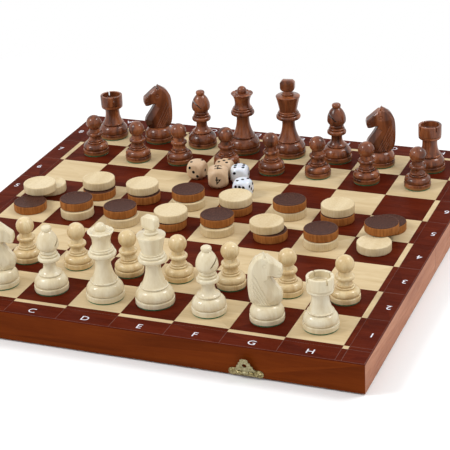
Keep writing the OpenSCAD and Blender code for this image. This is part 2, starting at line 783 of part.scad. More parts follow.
module rook_shape(turn) {
    rotate(turn)
        difference() {
            rotate_extrude() {
                lower_outline(rook_foot_r, rook_bulge_h, rook_shoulder_r, rook_stem_r, rook_stem_h);
                translate([0, turret_z]) {
                    polygon([[0, 0], [rook_stem_r, 0], [turret_r - turret_ring_in - 0.6, 0.4],
                        [turret_r - turret_ring_in, 1.1], [turret_r - turret_ring_in, turret_ring_h],
                        [turret_r - turret_groove, turret_ring_h + 0.2],
                        [turret_r - turret_groove, turret_ring_h + 0.5],
                        [turret_r, turret_ring_h + 0.8], [turret_r, turret_h - 0.4],
                        [turret_r - 0.4, turret_h], [0, turret_h]]);
                }
            }
            translate([0, 0, turret_top_z - turret_depth]) {
                cylinder(r = turret_r - turret_wall, h = turret_depth + cut);
                translate([0, 0, turret_depth - turret_cut_depth])
                    for (k = [0, 90])
                        rotate(k) translate([-turret_r - cut, -turret_cut / 2, 0])
                            cube([2 * (turret_r + cut), turret_cut, turret_cut_depth + cut]);
            }
        }
}

pawn_shoulder_r = 6.6;
pawn_collar_z = stem_top(pawn_bulge_h, pawn_neck_h);
pawn_collar_t = 3;
pawn_straight_h = 0.6;
pawn_ball_neck_h = 2.3;
pawn_ball_z = pawn_collar_z + pawn_collar_t + pawn_ball_neck_h + pawn_ball_r * 0.85;

module pawn_shape() {
    rotate_extrude() {
        foot_outline(pawn_foot_r, pawn_bulge_h, pawn_shoulder_r - 0.3);
        translate([0, felt_t + foot_ring_h + pawn_bulge_h]) {
            bead(pawn_shoulder_r, shoulder_h, 0.6);
            translate([0, -0.3]) square([pawn_neck_r, 2]);
            translate([0, shoulder_h]) bead(pawn_shoulder_r - 0.8, 1.6, 0.7);
            translate([0, shoulder_h])
                stem_outline(pawn_shoulder_r - 1.4, pawn_neck_r, pawn_neck_h, pawn_straight_h);
        }
        translate([0, pawn_collar_z]) bead(pawn_collar_r, pawn_collar_t, 1.35);
        translate([0, pawn_collar_z]) square([pawn_neck_r - 0.3, pawn_collar_t + pawn_ball_neck_h + 1]);
        translate([0, pawn_ball_z]) half_disc(pawn_ball_r);
    }
}

knight_shoulder_r = 9.4;
knight_head_z = felt_t + foot_ring_h + knight_bulge_h;

module knight_base_shape() {
    rotate_extrude() foot_outline(knight_foot_r, knight_bulge_h, knight_shoulder_r);
}

// Horse's head seen from the side, nose towards +X, neck on y = 0
module knight_outline() {
    polygon(knight_h / 37 * [[-8, 0], [6.6, 0], [9.4, 1.4], [10.8, 4], [10.9, 7.6], [9.9, 10], [7.7, 12.9],
        [5.5, 15.9], [3, 19.8], [2.7, 21], [4.8, 21.2], [6.5, 20.4], [9.8, 20.1], [10.9, 21.2],
        [11.3, 23.6], [11.1, 26], [10.2, 27.4], [8.5, 28.6], [4.6, 31.8], [1.5, 34.2], [0.2, 35.2],
        [-1.2, 37], [-2, 36], [-3.6, 35.3], [-6.7, 33.1], [-8.3, 31.4], [-9.4, 29.6],
        [-10.5, 27.4], [-11.2, 25], [-11.7, 20.6], [-11.8, 13], [-11.5, 6.6], [-10.4, 2.2]]);
}

// The block is planed thinner towards the nose and the mane
module knight_head_shape(turn) {
    side = knight_t / 2;
    mane_x = -knight_h / 3;
    nose_x = knight_h * 0.31;
    translate([0, 0, knight_head_z]) rotate(turn)
        intersection() {
            rotate([90, 0, 0]) linear_extrude(knight_t, center = true) knight_outline();
            linear_extrude(knight_h + 1)
                polygon([[mane_x, -side * 0.5], [mane_x * 0.6, -side], [nose_x * 0.25, -side],
                    [nose_x, -side * 0.45], [nose_x, side * 0.45], [nose_x * 0.25, side],
                    [mane_x * 0.6, side], [mane_x, side * 0.5]]);
        }
}

back_foot_r = [rook_foot_r, knight_foot_r, bishop_foot_r, queen_foot_r,
    king_foot_r, bishop_foot_r, knight_foot_r, rook_foot_r];

module felts(pawn_rank, pawn_shift, back_rank, back_shift) {
    for (file = [0 : 7]) {
        translate(place(file, pawn_rank, pawn_shift[file]))
            cylinder(r = pawn_foot_r - felt_inset, h = felt_t);
        translate(place(file, back_rank, back_shift[file]))
            cylinder(r = back_foot_r[file] - felt_inset, h = felt_t);
    }
}

module white_pawns() {
    color("ivory") for (file = [0 : 7]) translate(place(file, 1, white_pawn_shift[file])) pawn_shape();
}
module white_rooks() {
    color("ivory") for (k = [0, 1]) translate(place(7 * k, 0, white_back_shift[7 * k]))
        rook_shape(rook_turns[k]);
}
module white_knight_bases() {
    color("ivory") for (file = [1, 6]) translate(place(file, 0, white_back_shift[file])) knight_base_shape();
}
module white_knight_heads() {
    color("ivory") for (k = [0, 1]) translate(place(1 + 5 * k, 0, white_back_shift[1 + 5 * k]))
        knight_head_shape(white_knight_turns[k]);
}
module white_bishops() {
    color("ivory") for (k = [0, 1]) translate(place(2 + 3 * k, 0, white_back_shift[2 + 3 * k]))
        bishop_shape(white_bishop_turns[k]);
}
module white_queen() { color("ivory") translate(place(3, 0, white_back_shift[3])) queen_shape(); }
module white_king() { color("ivory") translate(place(4, 0, white_back_shift[4])) king_shape(); }
module white_king_finial() {
    color("ivory") translate(place(4, 0, white_back_shift[4])) finial_shape(white_finial_turn);
}
module white_felts() { color("darkgreen") felts(1, white_pawn_shift, 0, white_back_shift); }

module brown_pawns() {
    color("sienna") for (file = [0 : 7]) translate(place(file, 6, brown_pawn_shift[file])) pawn_shape();
}
module brown_rooks() {
    color("sienna") for (k = [0, 1]) translate(place(7 * k, 7, brown_back_shift[7 * k]))
        rook_shape(rook_turns[k]);
}
module brown_knight_bases() {
    color("sienna") for (file = [1, 6]) translate(place(file, 7, brown_back_shift[file])) knight_base_shape();
}
module brown_knight_heads() {
    color("sienna") for (k = [0, 1]) translate(place(1 + 5 * k, 7, brown_back_shift[1 + 5 * k]))
        knight_head_shape(brown_knight_turns[k]);
}
module brown_bishops() {
    color("sienna") for (k = [0, 1]) translate(place(2 + 3 * k, 7, brown_back_shift[2 + 3 * k]))
        bishop_shape(brown_bishop_turns[k]);
}
module brown_queen() { color("sienna") translate(place(3, 7, brown_back_shift[3])) queen_shape(); }
module brown_king() { color("sienna") translate(place(4, 7, brown_back_shift[4])) king_shape(); }
module brown_king_finial() {
    color("sienna") translate(place(4, 7, brown_back_shift[4])) finial_shape(brown_finial_turn);
}
module brown_felts() { color("darkgreen") felts(6, brown_pawn_shift, 7, brown_back_shift); }

// ---------------------------------------------------------------- draughts

// Turned disc, dished on both faces
module draught() {
    difference() {
        rotate_extrude() bead(draught_r, draught_t, 0.7);
        for (z = [draught_t - draught_dish, -cut])
            translate([0, 0, z]) cylinder(r = draught_r - draught_rim, h = draught_dish + cut);
    }
}

// [file, rank, level, x shift, y shift] from the middle of a square: level 1 lies on level 0
module draughts(set) {
    for (d = set)
        translate(place(d[0], d[1], [d[3], d[4]]) + [0, 0, d[2] * draught_t]) draught();
}

light_set = [[1, 3, 0, 0, 1], [2, 3, 0, 0, -2], [3, 3, 1, -1, 2], [4, 3, 0, -3, 1],
    [5, 3, 1, -4, 3], [6, 3, 0, -1, 0], [7, 3, 0, -1, 3], [0, 3.5, 1, -3, 3],
    [0, 4, 0, -2, -2], [1, 4, 1, -1, 4], [2, 4, 1, -3, 4], [3, 4, 0, -2, 0],
    [4, 4, 1, -3, 1], [5, 4, 0, 0, 4], [6, 4, 1, -2, 6]];
dark_set = [[0, 3, 0, -1, 1], [1, 3, 1, -1, 3], [2, 3, 1, -2, -1], [3, 3, 0, -2, 1],
    [4, 3, 1, -4, 4], [5, 3, 0, -1, 2], [6, 3, 1, -1, 1], [7, 3.5, 1, -1, 3],
    [1, 4, 0, 1, 0], [2, 4, 0, -1, 2], [3, 4, 1, -3, 2], [4, 4, 0, -3, 0],
    [5, 4, 1, 0, 4], [6, 4, 0, -2, 5], [7, 4, 0, 0, 0]];

module light_draughts() { color("wheat") draughts(light_set); }
module dark_draughts() { color("saddlebrown") draughts(dark_set); }

// ---------------------------------------------------------------- dice

// A cube whose corners are turned off by a ball
module die_shape(edge, file, rank, shift, turn) {
    translate(place(file, rank, shift) + [0, 0, edge / 2]) rotate(turn)
        intersection() {
            cube(edge, center = true);
            sphere(r = die_round * edge / 2);
        }
}

module wooden_dice() {
    color("burlywood") {
        die_shape(die, 3, 5, [-16.5, 14.3], -4);
        die_shape(die, 3, 5, [4.6, 20.9], 3);
    }
}
module doubling_cube() { color("burlywood") die_shape(doubling_die, 3, 5, [6.4, 2.4], 20); }
module white_dice() {
    color("white") {
        die_shape(die, 4, 5, [-19.4, 13.9], 12);
        die_shape(die, 4, 5, [-7.2, -11.7], -2);
    }
}

front_outer_rail();
front_fold_rail();
front_left_rail();
front_right_rail();
front_panel();
front_light_veneer();
front_dark_veneer();
front_light_points();
front_dark_points();
front_hinge_leaves();
hinge_pins();
front_hinge_screws();
latch_plates();
latch_pins();
latch_nails();
left_tongue();
right_tongue();
rear_outer_rail();
rear_fold_rail();
rear_left_rail();
rear_right_rail();
rear_panel();
rear_light_veneer();
rear_dark_veneer();
rear_light_points();
rear_dark_points();
rear_hinge_leaves();
rear_hinge_screws();
keepers();
keeper_nails();
white_pawns();
white_rooks();
white_knight_bases();
white_knight_heads();
white_bishops();
white_queen();
white_king();
white_king_finial();
white_felts();
brown_pawns();
brown_rooks();
brown_knight_bases();
brown_knight_heads();
brown_bishops();
brown_queen();
brown_king();
brown_king_finial();
brown_felts();
light_draughts();
dark_draughts();
wooden_dice();
doubling_cube();
white_dice();
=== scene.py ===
"""Looks of a folding games compendium box, set out with its men, draughts and dice."""

import math

import bmesh
import bpy
from mathutils import Matrix, Vector
from mathutils.geometry import delaunay_2d_cdt


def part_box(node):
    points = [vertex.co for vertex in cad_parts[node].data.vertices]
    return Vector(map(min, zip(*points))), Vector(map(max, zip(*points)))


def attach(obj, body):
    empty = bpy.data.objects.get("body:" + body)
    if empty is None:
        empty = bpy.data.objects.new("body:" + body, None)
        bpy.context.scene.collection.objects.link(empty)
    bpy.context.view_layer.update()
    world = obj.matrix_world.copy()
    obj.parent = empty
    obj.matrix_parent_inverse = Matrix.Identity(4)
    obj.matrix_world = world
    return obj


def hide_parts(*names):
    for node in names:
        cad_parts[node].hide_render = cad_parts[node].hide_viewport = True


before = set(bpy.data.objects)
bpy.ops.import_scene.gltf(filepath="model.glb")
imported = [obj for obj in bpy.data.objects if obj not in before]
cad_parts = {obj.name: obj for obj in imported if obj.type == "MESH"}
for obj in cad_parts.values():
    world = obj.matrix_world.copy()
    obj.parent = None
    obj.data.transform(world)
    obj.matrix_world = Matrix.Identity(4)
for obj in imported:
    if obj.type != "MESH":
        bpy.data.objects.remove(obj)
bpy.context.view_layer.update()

# ---------------------------------------------------------------- rails
# The two halves are frames of stained hardwood rails, mitred at the corners and
# lacquered. The front, rear and fold rails are a warm orange brown. The left and right
# rails are painted paler: a painted reflection of the white surroundings on their lacquer.

MM = 0.001


def srgb(red, green, blue):
    """A colour as it is read off a screen, turned into the linear one a shader takes."""
    channels = []
    for value in (red, green, blue):
        part = value / 255
        channels.append(part / 12.92 if part < 0.04 else ((part + 0.055) / 1.055) ** 2.4)
    return (*channels, 1)


class Finish:
    """A material with a Principled shader and short ways to add nodes to it."""

    def __init__(self, name):
        self.material = bpy.data.materials.new(name)
        self.material.use_nodes = True
        self.tree = self.material.node_tree
        self.shader = self.tree.nodes["Principled BSDF"]

    def set(self, **values):
        """Plain values for the shader's sockets, with _ for a space in a name."""
        for socket, value in values.items():
            self.shader.inputs[socket.replace("_", " ")].default_value = value

    def node(self, kind, **values):
        """A new node with its settings."""
        made = self.tree.nodes.new("ShaderNode" + kind)
        for name, value in values.items():
            setattr(made, name, value)
        return made

    def join(self, value, socket):
        """Links another node's output to a socket, or gives it a plain value."""
        if isinstance(value, bpy.types.NodeSocket):
            self.tree.links.new(value, socket)
        else:
            socket.default_value = value

    def chance(self):
        """A number from 0 to 1 that differs from one loose piece to the next."""
        return self.node("NewGeometry").outputs["Random Per Island"]

    def place(self, stretch=(1, 1, 1)):
        """Object coordinates, shifted for each loose piece and stretched along the grain."""
        shift = self.node("VectorMath", operation="MULTIPLY_ADD")
        self.join(self.chance(), shift.inputs[0])
        shift.inputs[1].default_value = (3.1, 7.7, 5.3)
        self.join(self.node("TexCoord").outputs["Object"], shift.inputs[2])
        mapping = self.node("Mapping")
        mapping.inputs["Scale"].default_value = stretch
        self.join(shift.outputs[0], mapping.inputs["Vector"])
        return mapping.outputs[0]

    def noise(self, vector, scale, detail=3.0, roughness=0.55, distortion=0.0):
        made = self.node("TexNoise")
        for socket, value in (("Scale", scale), ("Detail", detail), ("Roughness", roughness),
                ("Distortion", distortion), ("Vector", vector)):
            self.join(value, made.inputs[socket])
        return made.outputs["Fac"]

    def ramp(self, factor, stops):
        """Colours that follow a factor from one stop to the next."""
        made = self.node("ValToRGB")
        elements = made.color_ramp.elements
        while len(elements) < len(stops):
            elements.new(0.5)
        for element, (position, colour) in zip(elements, stops):
            element.position = position
            element.color = colour
        self.join(factor, made.inputs["Fac"])
        return made.outputs["Color"]

    def mix(self, factor, first, second, blend="MIX"):
        made = self.node("Mix", data_type="RGBA", blend_type=blend)
        for socket, value in ((0, factor), (6, first), (7, second)):
            self.join(value, made.inputs[socket])
        return made.outputs[2]

    def bump(self, height, strength, distance):
        """Fine relief that follows a height, at most the distance deep, in metres."""
        made = self.node("Bump")
        for socket, value in (("Strength", strength), ("Distance", distance), ("Height", height)):
            self.join(value, made.inputs[socket])
        self.join(made.outputs["Normal"], self.shader.inputs["Normal"])


GRAIN_X = (0.1, 1.0, 1.0)
GRAIN_Y = (1.0, 0.1, 1.0)
GRAIN_Z = (1.0, 1.0, 0.14)
WHITE = (1, 1, 1, 1)
SKIN = 0.1 * MM


def grey(level):
    """A neutral colour, for a ramp that gives a plain number."""
    return (level, level, level, 1)


def wood(name, grain, pale, middle, deep, roughness, gloss, streak=0.12, figure=60):
    """Lacquered wood: broad figure, fine streaks along the grain and faint pores."""
    finish = Finish(name)
    spot = finish.place(grain)
    broad = finish.noise(spot, figure, 3, 0.6, 0.8)
    fine = finish.noise(spot, figure * 14, 4, 0.65)
    base = finish.ramp(broad, [(0.3, deep), (0.5, middle), (0.7, pale)])
    level = 1 - streak
    streaks = finish.ramp(fine, [(0.35, (level, level * 0.98, level * 0.95, 1)), (0.62, WHITE)])
    finish.join(finish.mix(1.0, base, streaks, "MULTIPLY"), finish.shader.inputs["Base Color"])
    dull = finish.ramp(fine, [(0.3, grey(roughness * 1.25)), (0.7, grey(roughness * 0.85))])
    finish.join(dull, finish.shader.inputs["Roughness"])
    finish.set(Specular_IOR_Level=gloss)
    finish.bump(fine, 0.05, SKIN)
    return finish


def dress(finish, slot, *nodes):
    """Gives pieces of the frame their finish; slot is not used."""
    for node in nodes:
        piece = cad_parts[node]
        piece.data.materials.clear()
        piece.data.materials.append(finish.material)


long_rail = wood("stained rail", GRAIN_X, srgb(116, 52, 13), srgb(104, 44, 10), srgb(90, 36, 7),
    0.42, 0.03)
# the paler colour of the left and right rails is a painted reflection of the white surroundings on their
# lacquer
side_rail_painted_reflection = wood("side rail", GRAIN_Y, srgb(186, 128, 96), srgb(174, 114, 82), srgb(158, 98, 68),
    0.38, 0.1)
for half in ("front", "rear"):
    dress(long_rail, "front_rail", half + "_outer_rail")
    dress(long_rail, "end_rail", half + "_fold_rail")
    dress(side_rail_painted_reflection, "end_rail", half + "_left_rail", half + "_right_rail")

# ---------------------------------------------------------------- panels
# A sheet of birch plywood let into a ledge round each frame. Its underside is
# the floor of the tray, in plain satin varnish.

plywood = wood("birch plywood", GRAIN_X, srgb(218, 186, 142), srgb(206, 172, 126),
    srgb(190, 152, 106), 0.5, 0.3)
dress(plywood, "plywood", "front_panel", "rear_panel")

# ---------------------------------------------------------------- veneers
# Maple and mahogany squares, the narrow ring round them and the wide mahogany
# border are sawn veneer, laid edge to edge and lacquered to a low gloss.

maple = wood("maple veneer", GRAIN_X, srgb(214, 194, 156), srgb(206, 184, 145),
    srgb(194, 171, 131), 0.45, 0.05, 0.05)
mahogany = wood("mahogany veneer", GRAIN_X, srgb(98, 36, 17), srgb(85, 28, 12), srgb(70, 21, 9),
    0.45, 0.02, 0.16)
for half in ("front", "rear"):
    dress(maple, "maple", half + "_light_veneer")
    dress(mahogany, "mahogany", half + "_dark_veneer")

# ---------------------------------------------------------------- scored lines
# A fine line is scored and inked in a greyish brown along every joint of the
# border: dotted where ring and border meet, unbroken across it and along its edge.

SQUARE = 38.8
RING_W = 4.0
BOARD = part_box("front_outer_rail")[1][0] / MM
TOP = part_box("front_light_veneer")[1][2] / MM
LINE_W = 0.28
LINE_LIFT = 0.012
DASH_PITCH, DASH_SHARE = 1.1, 0.55
FOLD_HALF = 0.15
EDGE_INSET = 0.5
RING = 4 * SQUARE + RING_W
EDGE = BOARD - EDGE_INSET


def add_piece(name, work, finish, body, stands_for=None, smooth=None):
    """Ends a mesh under construction and gives it its finish and its body."""
    mesh = bpy.data.meshes.new(name)
    work.to_mesh(mesh)
    work.free()
    if smooth is not None:
        mesh.shade_smooth()
        mesh.set_sharp_from_angle(angle=math.radians(smooth))
    mesh.materials.append(finish.material)
    piece = bpy.data.objects.new(name, mesh)
    bpy.context.scene.collection.objects.link(piece)
    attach(piece, body)
    if stands_for:
        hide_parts(stands_for)


def strip(work, start, end):
    """A flat strip of ink from start to end, in millimetres, just over the veneer."""
    along = Vector(end) - Vector(start)
    across = Vector((-along.y, along.x)).normalized() * LINE_W / 2
    corners = (Vector(start) - across, Vector(end) - across, Vector(end) + across, Vector(start) + across)
    work.faces.new([work.verts.new((c.x * MM, c.y * MM, (TOP + LINE_LIFT) * MM)) for c in corners])


def dotted(work, start, end):
    """A row of short dashes, a little longer than the gaps between them."""
    way = Vector(end) - Vector(start)
    count = round(way.length / DASH_PITCH)
    for k in range(count):
        first = Vector(start) + way * (k / count)
        strip(work, first, first + way * (DASH_SHARE / count))


ink = Finish("grey score ink")
worn = ink.noise(ink.place(), 400, 3)
ink.join(ink.ramp(worn, [(0.3, srgb(76, 38, 30)), (0.7, srgb(116, 76, 64))]), ink.shader.inputs["Base Color"])
ink.set(Roughness=0.55)
for half, way in (("front", -1), ("rear", 1)):
    lines = bmesh.new()
    dotted(lines, (-RING, way * RING), (RING, way * RING))
    strip(lines, (-EDGE, way * EDGE), (EDGE, way * EDGE))
    for side in (-1, 1):
        dotted(lines, (side * RING, way * FOLD_HALF), (side * RING, way * RING))
        strip(lines, (side * EDGE, way * FOLD_HALF), (side * EDGE, way * EDGE))
        strip(lines, (side * RING, way * RING), (side * EDGE, way * RING))
        strip(lines, (side * RING, way * RING), (side * RING, way * EDGE))
        for rank in range(1, 5):
            strip(lines, (side * RING, way * rank * SQUARE), (side * EDGE, way * rank * SQUARE))
    for file in range(-4, 5):
        strip(lines, (file * SQUARE, way * RING), (file * SQUARE, way * EDGE))
    add_piece(half + "_scored_lines", lines, ink, half + "_tray")

# ---------------------------------------------------------------- letters and numbers
# The files A to H and the ranks 1 to 8 are screen printed in white on the
# border, turned round on the far and right sides for the other player.

LETTER_H = 5.6
CAPITAL_TO_SIZE = 1.38
BOLDER = 0.012
PRINT_T = 0.02
LETTER_OUT = 1.5
LETTER_MID = (RING + BOARD) / 2 + LETTER_OUT
LETTER_PITCH = SQUARE * 1.011
WIDER = Matrix.Diagonal((1.08, 1, 1, 1))


def lettering(work, text, place, height, lift, depth):
    """Flat sans letters centred on a place, as thin as a coat of paint."""
    curve = bpy.data.curves.new("letter", "FONT")
    curve.body = text
    curve.align_x = "CENTER"
    curve.align_y = "CENTER"
    curve.size = height * CAPITAL_TO_SIZE
    curve.offset = BOLDER
    curve.extrude = depth
    curve.resolution_u = 3
    holder = bpy.data.objects.new("letter", curve)
    mesh = bpy.data.meshes.new_from_object(holder)
    mesh.transform(Matrix.Translation((0, 0, lift)))
    mesh.transform(Matrix.Scale(MM, 4) @ place)
    work.from_mesh(mesh)
    bpy.data.objects.remove(holder)
    bpy.data.curves.remove(curve)
    bpy.data.meshes.remove(mesh)


paint = Finish("white screen print")
patchy = paint.noise(paint.place(), 900, 3)
paint.join(paint.ramp(patchy, [(0.3, srgb(206, 204, 212)), (0.6, srgb(232, 232, 240))]),
    paint.shader.inputs["Base Color"])
paint.set(Roughness=0.5)
TURNED_ROUND = Matrix.Rotation(math.pi, 4, "Z")
for half, way in (("front", -1), ("rear", 1)):
    letters = bmesh.new()
    for k in range(8):
        along = (k - 3.5) * LETTER_PITCH
        signs = [("ABCDEFGH"[k], along, way * LETTER_MID, way > 0)]
        if along * way > 0:
            signs += [("12345678"[k], side * LETTER_MID, along, side > 0) for side in (-1, 1)]
        for text, x, y, turned_round in signs:
            spot = Matrix.Translation((x, y, TOP)) @ WIDER
            if turned_round:
                spot = spot @ TURNED_ROUND
            lettering(letters, text, spot, LETTER_H, LINE_LIFT, PRINT_T)
    add_piece(half + "_letters", letters, paint, half + "_tray")

# ---------------------------------------------------------------- backgammon points
# Long triangles of maple and mahogany veneer, glued under the panels by turns,
# six from each side rail of a half, with their tips towards its middle.

dress(maple, "maple", "front_light_points", "rear_light_points")
dress(mahogany, "mahogany", "front_dark_points", "rear_dark_points")

# ---------------------------------------------------------------- fold hinges
# Two brass butt hinges on steel pins, let into the rims of the fold rails with
# three countersunk screws a leaf.


def metal(name, bright, dull, roughness, grain=700):
    """Satin metal with cloudy tarnish, rougher where it is duller."""
    finish = Finish(name)
    tarnish = finish.noise(finish.place(), grain, 4, 0.6)
    finish.join(finish.ramp(tarnish, [(0.38, dull), (0.62, bright)]), finish.shader.inputs["Base Color"])
    rough = finish.ramp(tarnish, [(0.3, grey(roughness * 1.5)), (0.7, grey(roughness))])
    finish.join(rough, finish.shader.inputs["Roughness"])
    finish.set(Metallic=1.0)
    finish.bump(tarnish, 0.15, SKIN)
    return finish


brass = metal("hinge brass", srgb(214, 184, 110), srgb(176, 144, 80), 0.26)
steel = metal("pin steel", srgb(190, 190, 190), srgb(150, 150, 150), 0.26)
dress(brass, "brass", "front_hinge_leaves", "rear_hinge_leaves", "front_hinge_screws", "rear_hinge_screws")
dress(steel, "steel", "hinge_pins")

# ---------------------------------------------------------------- latches
# Stamped antique brass: a lobed plate and a scalloped tongue on a rolled pin at
# the front, and a plate with a stud at the far side, all nailed on.

old_brass = metal("antique brass", srgb(190, 176, 130), srgb(92, 78, 42), 0.24, 800)
old_brass.bump(old_brass.noise(old_brass.place(), 900, 2), 1.0, 0.6 * MM)
worn_brass = metal("worn tongue brass", srgb(184, 176, 140), srgb(132, 122, 86), 0.3, 500)
dress(old_brass, "antique_brass", "latch_plates", "latch_pins", "latch_nails", "keepers", "keeper_nails")
dress(worn_brass, "antique_brass", "left_tongue", "right_tongue")

# ---------------------------------------------------------------- felts
# A thin disc of green baize, punched out and glued under each man, a little
# inside the edge of its foot.

baize = Finish("green baize")
nap = baize.noise(baize.place(), 900, 4)
baize.join(baize.ramp(nap, [(0.3, srgb(14, 74, 44)), (0.7, srgb(36, 124, 78))]),
    baize.shader.inputs["Base Color"])
baize.set(Roughness=0.95, Sheen_Weight=0.4)
baize.bump(nap, 0.4, 0.3 * MM)
dress(baize, "felt", "white_felts", "brown_felts")

# ---------------------------------------------------------------- pawns
# Turned in one piece: a foot with a groove under its bulge, a shoulder bead, a
# short neck, a collar and a ball, all under thick glossy lacquer.

FELT = 0.8
RING_H = 4.2
SHOULDER_H = 1.4
NUDGE = SQUARE / 40
TURNS = 72


def sweep(low, high, plumb, steps=10):
    """Arc of a turned outline from low to high, upright at its low or its high end."""
    rise = high[1] - low[1]
    run = high[0] - low[0]
    radius = (rise * rise + run * run) / (2 * abs(run))
    side = math.copysign(radius, run)
    full = math.acos(1 - abs(run) / radius)
    arc = []
    for step in range(steps + 1):
        angle = full * step / steps
        out, up = side * (1 - math.cos(angle)), radius * math.sin(angle)
        arc.append((low[0] + out, low[1] + up) if plumb == "low" else (high[0] - out, high[1] - up))
    return arc if plumb == "low" else arc[::-1]


def bead(r, z, thick, ease, steps=4):
    """A turned ring: flat edge with rounded corners, from z up."""
    return (sweep((r - ease, z), (r, z + ease), "high", steps)
        + sweep((r, z + thick - ease), (r - ease, z + thick), "low", steps))


def ball(r, z, floor_r, steps=22):
    """A turned ball on the axis, from the neck it stands on to its top."""
    first = math.asin(floor_r / r)
    angles = [first + (math.pi - first) * step / steps for step in range(steps + 1)]
    return [(max(0.0, r * math.sin(a)), z - r * math.cos(a)) for a in angles]


def foot(r, bulge_h, end_r):
    """Flat ring, groove and bulge, up to the bulge's end at the shoulder."""
    ring_top = FELT + RING_H
    return ([(0, FELT)] + bead(r, FELT, RING_H - 0.55, 0.5) + [(r - 1.2, ring_top - 0.3)]
        + sweep((r - 1.2, ring_top - 0.1), (r - 0.3, ring_top + 0.9), "high", 5)
        + sweep((r - 0.3, ring_top + 1.1), (end_r, ring_top + bulge_h), "low", 14))


def turned(outline, carve=None):
    """Spins an outline of radii and heights in millimetres round the Z axis; carve moves heights."""
    work = bmesh.new()
    rings = []
    for r, z in outline:
        if r < 0.001:
            rings.append([work.verts.new((0, 0, z * MM))] * TURNS)
            continue
        ring = []
        for k in range(TURNS):
            angle = math.tau * k / TURNS
            height = carve(angle, r, z) if carve else z
            ring.append(work.verts.new((r * math.cos(angle) * MM, r * math.sin(angle) * MM, height * MM)))
        rings.append(ring)
    for below, over in zip(rings, rings[1:]):
        for k in range(TURNS):
            n = (k + 1) % TURNS
            corners = list(dict.fromkeys((below[k], below[n], over[n], over[k])))
            if len(corners) > 2:
                work.faces.new(corners)
    bmesh.ops.remove_doubles(work, verts=work.verts, dist=0.01 * MM)
    mesh = bpy.data.meshes.new("turned")
    work.to_mesh(mesh)
    work.free()
    return mesh


def place(file, rank, shift, turn):
    """Where a piece stands: its square, how far off the middle in fortieths of one, and its turn."""
    spot = ((file - 3.5) * SQUARE + shift[0] * NUDGE, (rank - 3.5) * SQUARE + shift[1] * NUDGE, TOP)
    return Matrix.Translation(Vector(spot) * MM) @ Matrix.Rotation(turn, 4, "Z")


def set_out(node, shape, places, finish, body, smooth=38):
    """Copies of one shape at its places, in one piece that stands for the frame's plain one."""
    work = bmesh.new()
    for spot in places:
        copy = shape.copy()
        copy.transform(spot)
        work.from_mesh(copy)
        bpy.data.meshes.remove(copy)
    add_piece("made_" + node, work, finish, body, node, smooth)


# over the felt, the height that the foot is worn up to and the one where its lacquer is whole
WORN_FROM, WORN_TO = 1.3, 1.9


def lacquered(name, pale, middle, deep, warm, streak, figure, worn_foot=None):
    """Glossy lacquer over turned wood, each man a little different, with its foot's edge worn or not."""
    finish = Finish(name)
    spot = finish.place(GRAIN_Z)
    broad = finish.noise(spot, figure, 3, 0.6, 1.2)
    fine = finish.noise(spot, figure * 11, 4, 0.65)
    base = finish.ramp(broad, [(0.32, deep), (0.5, middle), (0.68, pale)])
    tint = finish.ramp(finish.chance(), [(0.0, WHITE), (1.0, warm)])
    level = 1 - streak
    streaks = finish.ramp(fine, [(0.35, (level, level * 0.98, level * 0.94, 1)), (0.6, WHITE)])
    tinted = finish.mix(1.0, base, tint, "MULTIPLY")
    colour = finish.mix(1.0, tinted, streaks, "MULTIPLY")
    if worn_foot:
        parts = finish.node("SeparateXYZ")
        finish.join(finish.node("TexCoord").outputs["Object"], parts.inputs[0])
        worn_off = finish.node("MapRange")
        finish.join(parts.outputs["Z"], worn_off.inputs["Value"])
        worn_off.inputs["From Min"].default_value = (TOP + FELT + WORN_TO) * MM
        worn_off.inputs["From Max"].default_value = (TOP + FELT + WORN_FROM) * MM
        colour = finish.mix(worn_off.outputs[0], colour, worn_foot)
    finish.join(colour, finish.shader.inputs["Base Color"])
    finish.join(finish.ramp(fine, [(0.3, grey(0.26)), (0.7, grey(0.16))]), finish.shader.inputs["Roughness"])
    finish.set(Specular_IOR_Level=0.32, Coat_Weight=0.15, Coat_Roughness=0.06)
    finish.bump(fine, 0.06, SKIN)
    return finish


white_wood = lacquered("white lacquered wood", srgb(230, 222, 198), srgb(223, 212, 184), srgb(213, 198, 166),
    (0.97, 0.94, 0.88, 1), 0.05, 70)
pawn_wood = lacquered("white pawn wood", srgb(230, 213, 174), srgb(220, 198, 155), srgb(204, 176, 130),
    (0.94, 0.9, 0.82, 1), 0.08, 110)
brown_wood = lacquered("brown lacquered wood", srgb(162, 97, 58), srgb(122, 67, 39), srgb(72, 37, 22),
    (0.84, 0.8, 0.78, 1), 0.16, 90, srgb(136, 92, 54))
SIDES = (("white", white_wood, "white_wood"), ("brown", brown_wood, "brown_wood"))
PAWN_SHIFTS = {
    "white": [(0, 0), (-1, -1), (0, 0), (1, -1), (-1, 1), (-1, 0), (1, 1), (2, 2)],
    "brown": [(0, 1), (1, -3), (-3, 1), (-2, 3), (-2, 1), (-3, 3), (-2, 2), (0, 2)]}
PAWN_RANK = {"white": 1, "brown": 6}

PAWN_FOOT, PAWN_BULGE, PAWN_SHOULDER, PAWN_NECK, PAWN_BALL = 10.4, 4.6, 6.6, 4.8, 6.4
shoulder_z = FELT + RING_H + PAWN_BULGE
neck_z = shoulder_z + SHOULDER_H
collar_z = neck_z + 4.7
ball_z = collar_z + 5.3 + PAWN_BALL * 0.85
pawn = turned(foot(PAWN_FOOT, PAWN_BULGE, PAWN_SHOULDER - 0.4)
    + bead(PAWN_SHOULDER, shoulder_z, SHOULDER_H, 0.6)
    + bead(PAWN_SHOULDER - 0.8, neck_z, 1.5, 0.65)
    + sweep((PAWN_SHOULDER - 1.4, neck_z + 1.6), (PAWN_NECK, collar_z - 0.3), "high", 8)
    + sweep((5.2, collar_z), (6.5, collar_z + 1.35), "high", 6)
    + sweep((6.5, collar_z + 1.6), (5.2, collar_z + 3), "low", 6)
    + [(4.7, collar_z + 3.2), (4.5, collar_z + 4.2)]
    + ball(PAWN_BALL, ball_z, 4.2))
